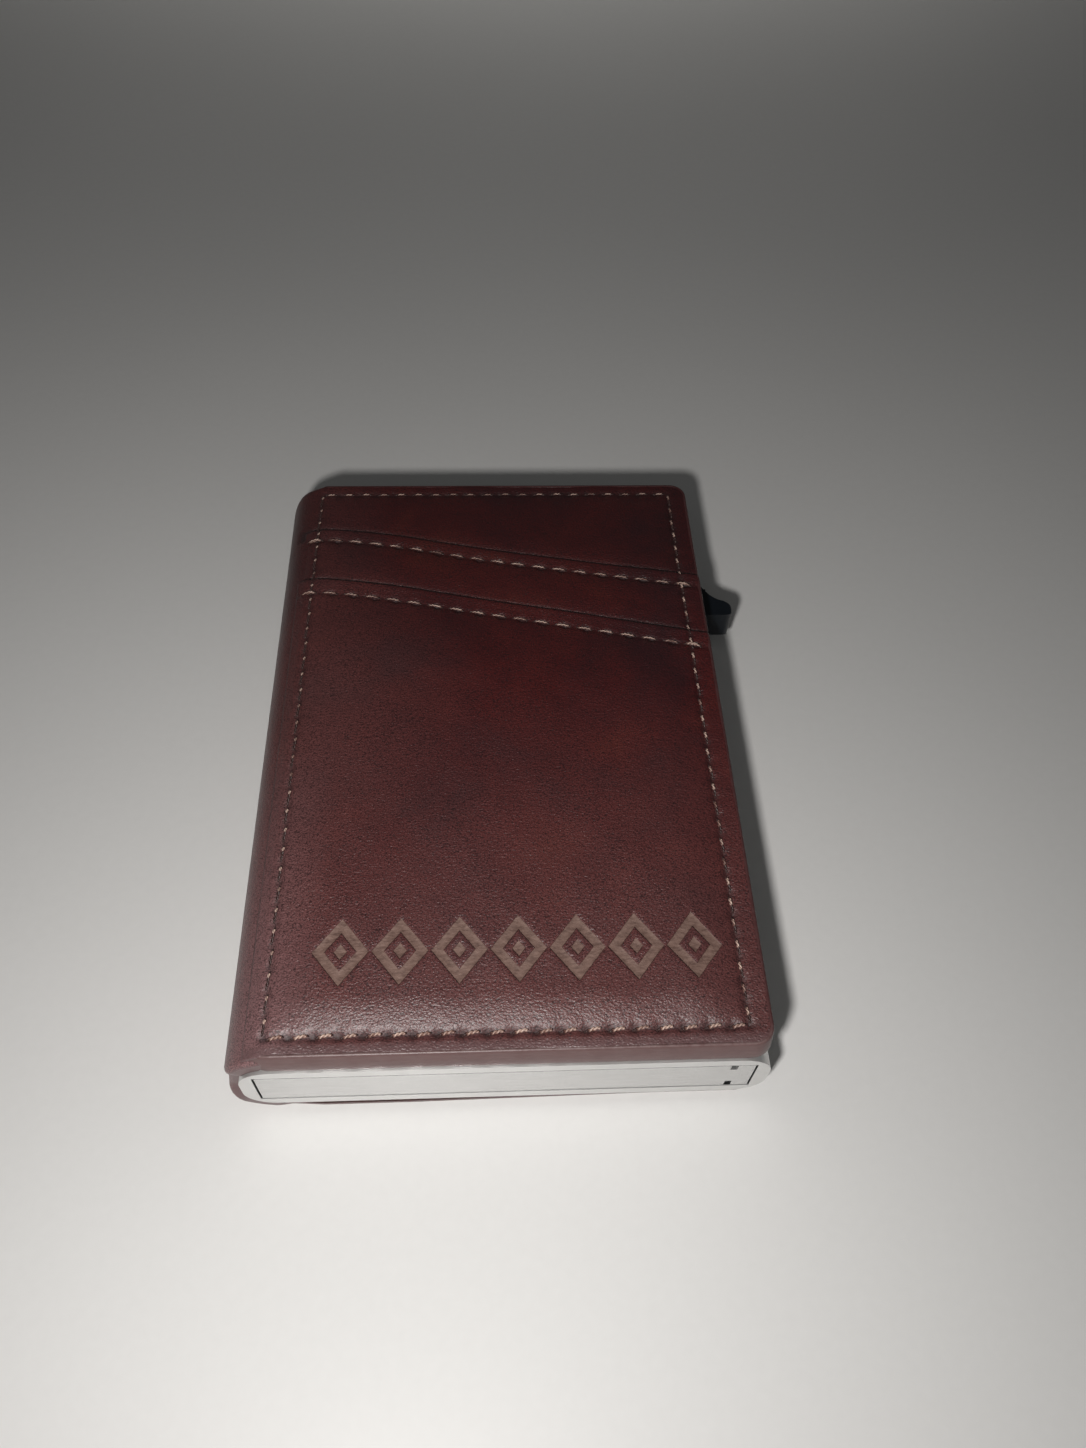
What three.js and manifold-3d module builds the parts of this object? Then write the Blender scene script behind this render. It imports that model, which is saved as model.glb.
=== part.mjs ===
// A minimalist wallet: an aluminium card case with a sliding thumb lever, carried in a book-style
// leather cover that wraps round the case's left side and opens like a book.
//
// Millimetres. X runs across the wallet: the thumb lever is on +X and the spine on -X. Y runs along
// it: the case is closed at -Y, and its mouth is at +Y. Z is up, through the thickness. The origin is
// the centre of the back cover's underside, the face that the wallet rests on.

import * as THREE from "three";
import { mergeVertices } from "three/addons/utils/BufferGeometryUtils.js";
import Module from "manifold-3d";

const wasm = await Module();
wasm.setup();

// ---- Driving dimensions ------------------------------------------------------------------------

const GLUE_GAP = 0.05; // between layers that are glued or sewn flat to each other
const FIT_GAP = 0.3; // between pieces that are fitted together or slide past each other

// Aluminium case: an extruded tube, open at the mouth
const CASE_WIDTH = 64;
const CASE_HEIGHT = 10.6;
const CASE_LENGTH = 98.6;
const CASE_CORNER = 4; // outer corner radius of the extrusion
const FLAT_WALL = 1.65; // over and under the cards
const SIDE_WALL = 1.8;
const RIB = 1; // width and height of each of the two guide ribs
const RIB_SETBACK = 3; // from the closed end to the ribs' near ends
const TRACK_WIDTH = 2.3; // between the ribs and the right wall, where the rail slides

// End plate
const PLATE_THICKNESS = 1.1;
const PLATE_RECESS = 0.05; // how far the plate sits inside the closed end
const PLATE_GAP = 0.25; // hairline round the plate
const NOTCH_WIDTH = 0.85; // of the two notches in the plate's long edges, in line with the ribs
const NOTCH_DEPTH = 1.6;

// Slider: the stair, its rail and the thumb lever
const TRAVEL = 14;
const CARD_STEPS = 5;
const STEP_RUN = 2.1; // how far each card stands ahead of the next one
const STAIR_BASE = 2.3; // from the stair's back to its shortest step
const ARM_LENGTH = 7; // arm that joins the stair to the rail
const LEVER_NEAR = -CASE_LENGTH / 2 + 72.9; // near side of the lever, where the thumb pushes
const LEVER_LENGTH = 7; // along the case wall
const LEVER_REACH = 5.55; // how far the lever stands out of the case
const LEVER_HEIGHT = 4.9;
const LEVER_ROUND = 0.6; // radius along the lever's upper and lower edges
const LEVER_CORNER = 0.85; // size of the rounding between the near face and the tip
const LEVER_TIP_LENGTH = 3; // from the near face to the hump where the hollow ramp starts
const NECK_HEIGHT = 3.4;
const NECK_INSET = 0.8; // the neck starts this far in from the lever's near side
const NECK_LENGTH = 5.4;

// Felt strips that hold the cards
const STRIP_WIDTH = 10;
const STRIP_LENGTH = 62;
const STRIP_THICKNESS = 0.4;
const STRIP_SETBACK = 6; // from the mouth

// Cover layers
const SKIN = 0.8; // outer leather
const BOARD = 1; // stiffener under the case
const LINING = 0.4; // lining of the back and of the spine
const TAPE = 0.5; // adhesive sheet under the case
const INNER_POCKET = 0.35;
const COVER_LINING = 0.3;
const FOAM = 0.45;
const POCKET_SKIN = 0.4;
const COVER_GAP = 0.1; // between the case and the closed cover

// Cover outline
const COVER_RIGHT = 31.6; // free edge
const COVER_NEAR = -48.5;
const COVER_FAR = 48.3;
const FREE_CORNER = 2.5; // corner radius at the free edge
const SPINE_CORNER_NEAR = 1.5;
const SPINE_CORNER_FAR = 3;
const FOLD_RADIUS = 5.8; // outer radius of the leather round each fold
const SPINE_X = -33.8; // outer face of the spine
const FOLD_SLIT = 0.15; // half of the slit that parts the skin at each fold
const POCKET_EDGE_INSET = 0.4; // pocket layers stop short of the cover's edge
const POCKET_WRAP = 0.45; // radians of the fold that the pocket layers reach round
const POCKET_LEFT = -31.2; // beyond the pocket layers' wrapped left edge

// Slanted mouths of the two outer pockets, as left-to-right points
const UPPER_MOUTH = [[POCKET_LEFT, 37.9], [-24, 37.4], [0.5, 32.6], [COVER_RIGHT, 27.1]];
const LOWER_MOUTH = [[POCKET_LEFT, 26.8], [-24, 26.2], [0.3, 21.4], [COVER_RIGHT, 14.9]];
const UPPER_SEAM_DROP = 2.4; // from a pocket's mouth down to its seam
const LOWER_SEAM_DROP = 2.9;

// Thread
const THREAD_WIDTH = 0.5;
const THREAD_HEIGHT = 0.25;
const SEAM_LEFT = -28.45;
const SEAM_RIGHT = 28.65;
const SEAM_NEAR = -46.15;
const SEAM_FAR = 46.1;
const BACK_SEAM_INSET = 3.2; // from the back cover's free edges
const GROOVE_WIDTH = 0.9;
const GROOVE_DEPTH = 0.4;

// Inner pocket
const INNER_LEFT = -27;
const INNER_RIGHT = 30.6;
const INNER_FAR = 24;
const INNER_CORNER = 2;
const THUMB_NOTCH = 9; // radius

const ARC_STEPS = 6;
const MERGE = 1e-3; // vertices closer than this are one vertex
const PAST = 5; // how far a cutting solid runs past what it cuts

// ---- Places that follow from them --------------------------------------------------------------

const BOARD_Z = SKIN + GLUE_GAP;
const BACK_LINING_Z = BOARD_Z + BOARD + GLUE_GAP;
const TAPE_Z = BACK_LINING_Z + LINING + GLUE_GAP;
const CASE_Z = TAPE_Z + TAPE + GLUE_GAP;
const CASE_TOP = CASE_Z + CASE_HEIGHT;
const INNER_POCKET_Z = CASE_TOP + COVER_GAP;
const COVER_LINING_Z = INNER_POCKET_Z + INNER_POCKET + GLUE_GAP;
const FOAM_Z = COVER_LINING_Z + COVER_LINING + GLUE_GAP;
const COVER_SKIN_Z = FOAM_Z + FOAM + GLUE_GAP;
const COVER_TOP = COVER_SKIN_Z + SKIN;
const UPPER_POCKET_Z = COVER_TOP + GLUE_GAP;
const LOWER_POCKET_Z = UPPER_POCKET_Z + POCKET_SKIN + GLUE_GAP;
const TOP = LOWER_POCKET_Z + POCKET_SKIN;

const MID_Z = CASE_Z + CASE_HEIGHT / 2;
const CASE_RIGHT = CASE_WIDTH / 2;
const CASE_NEAR = -CASE_LENGTH / 2;
const CASE_FAR = CASE_LENGTH / 2;
const CAVITY_RIGHT = CASE_RIGHT - SIDE_WALL;
const CAVITY_LOW = CASE_Z + FLAT_WALL;
const CAVITY_HIGH = CASE_TOP - FLAT_WALL;
const RIB_RIGHT = CAVITY_RIGHT - TRACK_WIDTH;
const RIB_LEFT = RIB_RIGHT - RIB;
const RIB_NEAR = CASE_NEAR + RIB_SETBACK;
const PLATE_NEAR = CASE_NEAR + PLATE_RECESS;
const STAIR_NEAR = PLATE_NEAR + PLATE_THICKNESS + FIT_GAP;
const RAIL_LEFT = RIB_RIGHT + FIT_GAP;
const RAIL_RIGHT = CAVITY_RIGHT - FIT_GAP;
const NECK_NEAR = LEVER_NEAR + NECK_INSET;
const NECK_FAR = NECK_NEAR + NECK_LENGTH;

const FOLD_X = SPINE_X + FOLD_RADIUS;
const LOW_FOLD_Z = FOLD_RADIUS;
const HIGH_FOLD_Z = COVER_TOP - FOLD_RADIUS;
const UP = Math.PI / 2;
const LEFT = Math.PI;
const DOWN = (3 * Math.PI) / 2;
const HALF_FOLD = Math.PI / 4;
const SLIT_ANGLE = FOLD_SLIT / FOLD_RADIUS;

// ---- Materials ---------------------------------------------------------------------------------

function finish(color, roughness, metalness = 0) {
  return new THREE.MeshStandardMaterial({ color, roughness, metalness });
}

const aluminium = () => finish(0xd4d4d2, 0.35, 1);
const leather = () => finish(0x5a2424, 0.5);
const lining = () => finish(0x2b1c1a, 0.85);
const thread = () => finish(0x9c6a52, 0.7);
const leverPlastic = () => finish(0x14181c, 0.45);
const innerPlastic = () => finish(0x1c1d1f, 0.6);
const felt = () => finish(0x3a3a3c, 0.95);
const paperboard = () => finish(0x8c8478, 0.9);
const foam = () => finish(0xd8d4cc, 0.9);
const adhesive = () => finish(0xe4e0d4, 0.6);

// ---- Solids ------------------------------------------------------------------------------------

// A closed geometry as a manifold-3d solid, for joining and cutting.
function solid(geometry) {
  const bare = geometry.clone();
  bare.deleteAttribute("normal");
  bare.deleteAttribute("uv");
  const merged = mergeVertices(bare, MERGE);
  const mesh = new wasm.Mesh({
    numProp: 3,
    vertProperties: new Float32Array(merged.attributes.position.array),
    triVerts: new Uint32Array(merged.index.array),
  });
  return new wasm.Manifold(mesh);
}

// A manifold-3d solid as a three.js geometry.
function geometryOf(made) {
  const { vertProperties, triVerts } = made.getMesh();
  const geometry = new THREE.BufferGeometry();
  geometry.setAttribute("position", new THREE.BufferAttribute(vertProperties, 3));
  geometry.setIndex(new THREE.BufferAttribute(triVerts, 1));
  geometry.computeVertexNormals();
  return geometry;
}

function extrude(shape, depth) {
  return new THREE.ExtrudeGeometry(shape, { depth, bevelEnabled: false, curveSegments: ARC_STEPS });
}

// A plan outline (x, y), extruded from one height to another.
function upright(shape, low, high) {
  return extrude(shape, high - low).translate(0, 0, low);
}

// A cross-section (x, z), extruded along Y.
function lengthwise(shape, near, far) {
  const turn = new THREE.Matrix4().makeBasis(
    new THREE.Vector3(1, 0, 0),
    new THREE.Vector3(0, 0, 1),
    new THREE.Vector3(0, -1, 0),
  );
  return extrude(shape, far - near).applyMatrix4(turn).translate(0, far, 0);
}

// A side profile (y, z), extruded along X.
function crosswise(shape, left, right) {
  const turn = new THREE.Matrix4().makeBasis(
    new THREE.Vector3(0, 1, 0),
    new THREE.Vector3(0, 0, 1),
    new THREE.Vector3(1, 0, 0),
  );
  return extrude(shape, right - left).applyMatrix4(turn).translate(left, 0, 0);
}

function block([x0, y0, z0], [x1, y1, z1]) {
  const box = new THREE.BoxGeometry(x1 - x0, y1 - y0, z1 - z0);
  return box.translate((x0 + x1) / 2, (y0 + y1) / 2, (z0 + z1) / 2);
}

// A rectangle with round corners, whose radii go near-left, near-right, far-right, far-left.
function roundedRectangle(x0, y0, x1, y1, [nearLeft, nearRight, farRight, farLeft]) {
  const shape = new THREE.Shape();
  shape.absarc(x0 + nearLeft, y0 + nearLeft, nearLeft, LEFT, DOWN, false);
  shape.absarc(x1 - nearRight, y0 + nearRight, nearRight, -UP, 0, false);
  shape.absarc(x1 - farRight, y1 - farRight, farRight, 0, UP, false);
  shape.absarc(x0 + farLeft, y1 - farLeft, farLeft, UP, LEFT, false);
  shape.closePath();
  return shape;
}

function evenlyRounded(x0, y0, x1, y1, radius) {
  return roundedRectangle(x0, y0, x1, y1, [radius, radius, radius, radius]);
}

// A flat rectangular ring, with its centre line at the given limits.
function ring(x0, y0, x1, y1, width, low, high) {
  const half = width / 2;
  const outer = block([x0 - half, y0 - half, low], [x1 + half, y1 + half, high]);
  const inner = block([x0 + half, y0 + half, low - PAST], [x1 - half, y1 - half, high + PAST]);
  return solid(outer).subtract(solid(inner));
}

// ---- Aluminium case ----------------------------------------------------------------------------

function caseTube() {
  const outside = evenlyRounded(-CASE_RIGHT, CASE_Z, CASE_RIGHT, CASE_TOP, CASE_CORNER);
  const bore = block(
    [-CAVITY_RIGHT, CASE_NEAR - PAST, CAVITY_LOW],
    [CAVITY_RIGHT, CASE_FAR + PAST, CAVITY_HIGH],
  );
  const slot = block(
    [RAIL_RIGHT, NECK_NEAR - FIT_GAP, MID_Z - NECK_HEIGHT / 2 - FIT_GAP],
    [CASE_RIGHT + PAST, NECK_FAR + TRAVEL + FIT_GAP, MID_Z + NECK_HEIGHT / 2 + FIT_GAP],
  );
  let tube = solid(lengthwise(outside, CASE_NEAR, CASE_FAR)).subtract(solid(bore));
  for (const [low, high] of [[CASE_Z + RIB, CAVITY_LOW + RIB], [CAVITY_HIGH - RIB, CASE_TOP - RIB]]) {
    tube = tube.add(solid(block([RIB_LEFT, RIB_NEAR, low], [RIB_RIGHT, CASE_FAR, high])));
  }
  return geometryOf(tube.subtract(solid(slot)));
}

function endPlate() {
  const low = CAVITY_LOW + PLATE_GAP;
  const high = CAVITY_HIGH - PLATE_GAP;
  const far = PLATE_NEAR + PLATE_THICKNESS;
  const middle = (RIB_LEFT + RIB_RIGHT) / 2;
  let plate = solid(
    block([PLATE_GAP - CAVITY_RIGHT, PLATE_NEAR, low], [CAVITY_RIGHT - PLATE_GAP, far, high]),
  );
  for (const edge of [CAVITY_LOW, CAVITY_HIGH]) {
    const notch = block(
      [middle - NOTCH_WIDTH / 2, PLATE_NEAR - PAST, edge - NOTCH_DEPTH],
      [middle + NOTCH_WIDTH / 2, far + PAST, edge + NOTCH_DEPTH],
    );
    plate = plate.subtract(solid(notch));
  }
  return geometryOf(plate);
}

function feltStrip(low) {
  const far = CASE_FAR - STRIP_SETBACK;
  const half = STRIP_WIDTH / 2;
  const outline = evenlyRounded(-half, far - STRIP_LENGTH, half, far, 1);
  return upright(outline, low, low + STRIP_THICKNESS);
}

// ---- Slider ------------------------------------------------------------------------------------

// The stair's lowest step reaches furthest, so the lowest card comes out first.
function stairPusher() {
  const low = CAVITY_LOW + FIT_GAP;
  const rise = (CAVITY_HIGH - FIT_GAP - low) / CARD_STEPS;
  const profile = new THREE.Shape();
  profile.moveTo(STAIR_NEAR, low);
  for (let step = 0; step < CARD_STEPS; step++) {
    const reach = STAIR_NEAR + STAIR_BASE + STEP_RUN * (CARD_STEPS - 1 - step);
    profile.lineTo(reach, low + rise * step);
    profile.lineTo(reach, low + rise * (step + 1));
  }
  profile.lineTo(STAIR_NEAR, low + rise * CARD_STEPS);
  profile.closePath();
  const right = RIB_LEFT - FIT_GAP;
  const arm = block(
    [right - RIB, STAIR_NEAR, MID_Z - NECK_HEIGHT / 2],
    [RAIL_LEFT - GLUE_GAP, STAIR_NEAR + ARM_LENGTH, MID_Z + NECK_HEIGHT / 2],
  );
  const stair = solid(crosswise(profile, FIT_GAP - CAVITY_RIGHT, right));
  return geometryOf(stair.add(solid(arm)));
}

function slideRail() {
  const section = evenlyRounded(
    RAIL_LEFT,
    CAVITY_LOW + FIT_GAP,
    RAIL_RIGHT,
    CAVITY_HIGH - FIT_GAP,
    RIB / 2,
  );
  return lengthwise(section, STAIR_NEAR, NECK_FAR);
}

// A square shoulder faces the closed end, where the thumb pushes; a hollow ramp runs down to the far side.
function leverOutline() {
  const root = CASE_RIGHT + FIT_GAP;
  const tip = CASE_RIGHT + LEVER_REACH;
  const near = LEVER_NEAR;
  const corner = LEVER_CORNER;
  const brow = tip - corner / 4; // the outer face leans a little, so its near corner stands back
  const hump = near + LEVER_TIP_LENGTH;
  const shape = new THREE.Shape();
  shape.moveTo(root, near);
  shape.lineTo(brow - corner, near);
  shape.quadraticCurveTo(brow, near, brow, near + corner);
  shape.bezierCurveTo(tip, near + 2 * corner, tip, hump - corner, tip - 1.5 * corner, hump);
  shape.quadraticCurveTo(tip - 4 * corner, hump + corner / 2, root + FIT_GAP, near + LEVER_LENGTH);
  shape.lineTo(root, near + LEVER_LENGTH);
  shape.closePath();
  return shape;
}

function thumbLever() {
  const low = MID_Z - LEVER_HEIGHT / 2;
  const high = MID_Z + LEVER_HEIGHT / 2;
  const tip = CASE_RIGHT + LEVER_REACH;
  const section = evenlyRounded(CASE_RIGHT, low, tip, high, LEVER_ROUND);
  const rounded = solid(lengthwise(section, LEVER_NEAR - PAST, LEVER_NEAR + LEVER_LENGTH + PAST));
  const knob = solid(upright(leverOutline(), low - PAST, high + PAST)).intersect(rounded);
  const neck = block(
    [RAIL_RIGHT + GLUE_GAP, NECK_NEAR, MID_Z - NECK_HEIGHT / 2],
    [CASE_RIGHT + LEVER_REACH / 3, NECK_FAR, MID_Z + NECK_HEIGHT / 2],
  );
  return geometryOf(knob.add(solid(neck)));
}

// ---- Cover -------------------------------------------------------------------------------------

// The cover's whole plan outline, spine included.
function coverOutline() {
  const radii = [SPINE_CORNER_NEAR, FREE_CORNER, FREE_CORNER, SPINE_CORNER_FAR];
  return roundedRectangle(SPINE_X, COVER_NEAR, COVER_RIGHT, COVER_FAR, radii);
}

// A cover layer: its cross-section run along the cover, then trimmed to a plan outline.
function trimmed(section, outline) {
  const layer = solid(lengthwise(section, COVER_NEAR - PAST, COVER_FAR + PAST));
  return layer.intersect(solid(upright(outline, -PAST, TOP + PAST)));
}

function backSkin() {
  const inner = FOLD_RADIUS - SKIN;
  const end = DOWN - HALF_FOLD + SLIT_ANGLE;
  const section = new THREE.Shape();
  section.moveTo(COVER_RIGHT + PAST, 0);
  section.lineTo(COVER_RIGHT + PAST, SKIN);
  section.absarc(FOLD_X, LOW_FOLD_Z, inner, DOWN, end, true);
  section.absarc(FOLD_X, LOW_FOLD_Z, FOLD_RADIUS, end, DOWN, false);
  section.closePath();
  const groove = backSeam(GROOVE_WIDTH, -PAST, GROOVE_DEPTH);
  return geometryOf(trimmed(section, coverOutline()).subtract(groove));
}

function spineSkin() {
  const inner = FOLD_RADIUS - SKIN;
  const start = DOWN - HALF_FOLD - SLIT_ANGLE;
  const end = UP + HALF_FOLD + SLIT_ANGLE;
  const section = new THREE.Shape();
  section.absarc(FOLD_X, LOW_FOLD_Z, FOLD_RADIUS, start, LEFT, true);
  section.absarc(FOLD_X, HIGH_FOLD_Z, FOLD_RADIUS, LEFT, end, true);
  section.absarc(FOLD_X, HIGH_FOLD_Z, inner, end, LEFT, false);
  section.absarc(FOLD_X, LOW_FOLD_Z, inner, LEFT, start, false);
  section.closePath();
  return geometryOf(trimmed(section, coverOutline()));
}

// A layer of the front cover, from one distance outside the folds' centre line to another, that
// reaches round the upper fold by an angle.
function frontSection(inner, outer, wrap) {
  const section = new THREE.Shape();
  section.moveTo(COVER_RIGHT + PAST, HIGH_FOLD_Z + inner);
  section.lineTo(COVER_RIGHT + PAST, HIGH_FOLD_Z + outer);
  section.absarc(FOLD_X, HIGH_FOLD_Z, outer, UP, UP + wrap, false);
  section.absarc(FOLD_X, HIGH_FOLD_Z, inner, UP + wrap, UP, true);
  section.closePath();
  return section;
}

function coverSkin() {
  const section = frontSection(FOLD_RADIUS - SKIN, FOLD_RADIUS, HALF_FOLD - SLIT_ANGLE);
  return geometryOf(trimmed(section, coverOutline()));
}

function mouthPoints(mouth, shift) {
  return mouth.map(([x, y]) => new THREE.Vector2(x, y + shift));
}

// Plan of an outer pocket layer: its far edge is the slanted mouth, moved along Y by a shift.
function pocketOutline(mouth, shift, inset = POCKET_EDGE_INSET) {
  const points = mouthPoints(mouth, shift).reverse();
  const near = COVER_NEAR + inset;
  const right = COVER_RIGHT - inset;
  const corner = FREE_CORNER - inset;
  const shape = new THREE.Shape();
  shape.moveTo(POCKET_LEFT, near);
  shape.lineTo(right - corner, near);
  shape.absarc(right - corner, near + corner, corner, -UP, 0, false);
  shape.lineTo(right, points[0].y);
  shape.splineThru(points.slice(1));
  shape.closePath();
  return shape;
}

function pocketSkin(mouth, low) {
  const inner = low - HIGH_FOLD_Z;
  const section = frontSection(inner, inner + POCKET_SKIN, POCKET_WRAP);
  return geometryOf(trimmed(section, pocketOutline(mouth, 0)));
}

function flatLayer(x0, y0, x1, y1, low, thickness) {
  return upright(evenlyRounded(x0, y0, x1, y1, FREE_CORNER), low, low + thickness);
}

function spineLining() {
  const face = SPINE_X + SKIN + GLUE_GAP;
  const near = COVER_NEAR + FREE_CORNER;
  const far = COVER_FAR - FREE_CORNER;
  return block([face, near, LOW_FOLD_Z], [face + LINING, far, HIGH_FOLD_Z]);
}

function innerPocket() {
  const near = COVER_NEAR + FIT_GAP;
  const outline = evenlyRounded(INNER_LEFT, near, INNER_RIGHT, INNER_FAR, INNER_CORNER);
  const centre = (INNER_LEFT + INNER_RIGHT) / 2;
  const high = INNER_POCKET_Z + INNER_POCKET;
  const notch = new THREE.Shape().absarc(centre, INNER_FAR, THUMB_NOTCH, 0, 2 * Math.PI, false);
  const panel = solid(upright(outline, INNER_POCKET_Z, high));
  return geometryOf(panel.subtract(solid(upright(notch, INNER_POCKET_Z - PAST, high + PAST))));
}

// ---- Seams -------------------------------------------------------------------------------------

function backSeam(width, low, high) {
  const inset = BACK_SEAM_INSET;
  return ring(
    FOLD_X + inset / 2,
    COVER_NEAR + inset,
    COVER_RIGHT - inset,
    COVER_FAR - inset,
    width,
    low,
    high,
  );
}

function backThread() {
  return geometryOf(backSeam(THREAD_WIDTH, GLUE_GAP, GLUE_GAP + THREAD_HEIGHT));
}

// The seam round the front cover lies on the skin and climbs over each pocket layer.
function coverThread() {
  const whole = new THREE.Shape()
    .moveTo(SPINE_X, COVER_NEAR)
    .lineTo(COVER_RIGHT, COVER_NEAR)
    .lineTo(COVER_RIGHT, COVER_FAR)
    .lineTo(SPINE_X, COVER_FAR);
  const tiers = [
    { outline: whole, under: COVER_TOP },
    { outline: pocketOutline(UPPER_MOUTH, 2 * FIT_GAP), under: UPPER_POCKET_Z + POCKET_SKIN },
    { outline: pocketOutline(LOWER_MOUTH, 2 * FIT_GAP), under: TOP },
  ];
  const low = COVER_TOP + GLUE_GAP;
  const tierSolids = tiers.map(({ outline, under }) =>
    solid(upright(outline, low, under + GLUE_GAP + THREAD_HEIGHT)),
  );
  const allowed = tierSolids.reduce((sum, tier) => sum.add(tier));
  const upper = upright(pocketOutline(UPPER_MOUTH, FIT_GAP, 0), 0, UPPER_POCKET_Z + POCKET_SKIN + GLUE_GAP);
  const lower = upright(pocketOutline(LOWER_MOUTH, FIT_GAP, 0), 0, TOP + GLUE_GAP);
  const loop = ring(SEAM_LEFT, SEAM_NEAR, SEAM_RIGHT, SEAM_FAR, THREAD_WIDTH, low, TOP + PAST);
  return geometryOf(loop.intersect(allowed).subtract(solid(upper)).subtract(solid(lower)));
}

// A pocket's seam runs along its mouth, between the two sides of the seam round the cover.
function pocketThread(mouth, drop, low) {
  const curve = new THREE.SplineCurve(mouthPoints(mouth, -drop));
  const clear = THREAD_WIDTH / 2 + FIT_GAP;
  const line = curve
    .getPoints(4 * ARC_STEPS)
    .filter(({ x }) => x > SEAM_LEFT + clear && x < SEAM_RIGHT - clear);
  const half = THREAD_WIDTH / 2;
  const edge = (side) => line.map(({ x, y }) => new THREE.Vector2(x, y + side * half));
  const outline = new THREE.Shape([...edge(-1), ...edge(1).reverse()]);
  return upright(outline, low + GLUE_GAP, low + GLUE_GAP + THREAD_HEIGHT);
}

// ---- Assembly ----------------------------------------------------------------------------------

const wallet = new THREE.Group();

function place(name, geometry, material) {
  const mesh = new THREE.Mesh(geometry, material);
  mesh.name = name;
  wallet.add(mesh);
}

function addCase() {
  place("case_tube", caseTube(), aluminium());
  place("end_plate", endPlate(), aluminium());
  place("lower_felt_strip", feltStrip(CAVITY_LOW + GLUE_GAP), felt());
  place("upper_felt_strip", feltStrip(CAVITY_HIGH - GLUE_GAP - STRIP_THICKNESS), felt());
}

function addSlider() {
  place("stair_pusher", stairPusher(), innerPlastic());
  place("slide_rail", slideRail(), innerPlastic());
  place("thumb_lever", thumbLever(), leverPlastic());
}

function addBack() {
  const near = COVER_NEAR + FREE_CORNER;
  const far = COVER_FAR - FREE_CORNER;
  const right = COVER_RIGHT - FREE_CORNER;
  const gap = FIT_GAP;
  place("back_leather", backSkin(), leather());
  place("back_board", flatLayer(FOLD_X, near, right, far, BOARD_Z, BOARD), paperboard());
  place(
    "back_lining",
    flatLayer(FOLD_X, COVER_NEAR + gap, COVER_RIGHT - gap, COVER_FAR - gap, BACK_LINING_Z, LINING),
    lining(),
  );
  place("mounting_tape", flatLayer(FOLD_X, near, right, far, TAPE_Z, TAPE), adhesive());
  place("back_thread", backThread(), thread());
}

function addSpine() {
  place("spine_leather", spineSkin(), leather());
  place("spine_lining", spineLining(), lining());
}

function addFrontCover() {
  const near = COVER_NEAR + FREE_CORNER;
  const far = COVER_FAR - FREE_CORNER;
  const right = COVER_RIGHT - FREE_CORNER;
  place("inner_pocket", innerPocket(), lining());
  place(
    "cover_lining",
    flatLayer(
      FOLD_X,
      COVER_NEAR + FIT_GAP,
      COVER_RIGHT - FIT_GAP,
      COVER_FAR - FIT_GAP,
      COVER_LINING_Z,
      COVER_LINING,
    ),
    lining(),
  );
  place("cover_foam", flatLayer(FOLD_X, near, right, far, FOAM_Z, FOAM), foam());
  place("cover_leather", coverSkin(), leather());
  place("upper_pocket", pocketSkin(UPPER_MOUTH, UPPER_POCKET_Z), leather());
  place("lower_pocket", pocketSkin(LOWER_MOUTH, LOWER_POCKET_Z), leather());
  place("cover_thread", coverThread(), thread());
  place(
    "upper_pocket_thread",
    pocketThread(UPPER_MOUTH, UPPER_SEAM_DROP, UPPER_POCKET_Z + POCKET_SKIN),
    thread(),
  );
  place("lower_pocket_thread", pocketThread(LOWER_MOUTH, LOWER_SEAM_DROP, TOP), thread());
}

addCase();
addSlider();
addBack();
addSpine();
addFrontCover();

export default wallet;
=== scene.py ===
"""The looks of a minimalist wallet: an aluminium card case in a stitched leather cover.

Shapes are worked out in millimetres in the frame's axes, and become metres when a mesh is made.
X runs across the wallet (thumb lever +X, spine -X), Y along it (mouth +Y) and Z up.
"""

import math

import bpy
import numpy as np
from mathutils import Matrix, Vector


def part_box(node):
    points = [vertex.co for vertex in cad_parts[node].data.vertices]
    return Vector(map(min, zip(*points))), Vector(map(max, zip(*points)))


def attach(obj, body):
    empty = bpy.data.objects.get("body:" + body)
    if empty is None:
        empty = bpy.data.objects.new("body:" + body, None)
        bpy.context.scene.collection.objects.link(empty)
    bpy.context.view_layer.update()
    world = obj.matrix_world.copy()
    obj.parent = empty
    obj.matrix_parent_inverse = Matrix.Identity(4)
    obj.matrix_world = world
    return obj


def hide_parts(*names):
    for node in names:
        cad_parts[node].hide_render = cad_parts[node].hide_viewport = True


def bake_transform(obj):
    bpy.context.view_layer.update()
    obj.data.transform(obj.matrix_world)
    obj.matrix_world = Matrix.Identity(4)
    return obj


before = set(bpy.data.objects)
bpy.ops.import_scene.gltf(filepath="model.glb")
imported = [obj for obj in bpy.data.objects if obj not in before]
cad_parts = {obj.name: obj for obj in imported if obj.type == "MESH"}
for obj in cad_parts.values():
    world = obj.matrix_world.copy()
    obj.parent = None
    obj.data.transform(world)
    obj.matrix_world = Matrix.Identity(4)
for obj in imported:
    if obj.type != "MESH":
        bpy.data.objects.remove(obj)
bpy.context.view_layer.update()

MM = 0.001


# ---- Places read from the frame ----


def box_mm(node):
    low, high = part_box(node)
    return np.array(low) / MM, np.array(high) / MM


CASE_LOW, CASE_HIGH = box_mm("case_tube")
COVER_LOW, COVER_HIGH = box_mm("cover_leather")
SPINE_LOW = box_mm("spine_leather")[0]
UPPER_LOW, UPPER_HIGH = box_mm("upper_pocket")
LOWER_LOW, LOWER_HIGH = box_mm("lower_pocket")
THREAD_LOW, THREAD_HIGH = box_mm("cover_thread")
BACK_THREAD_LOW, BACK_THREAD_HIGH = box_mm("back_thread")

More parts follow.
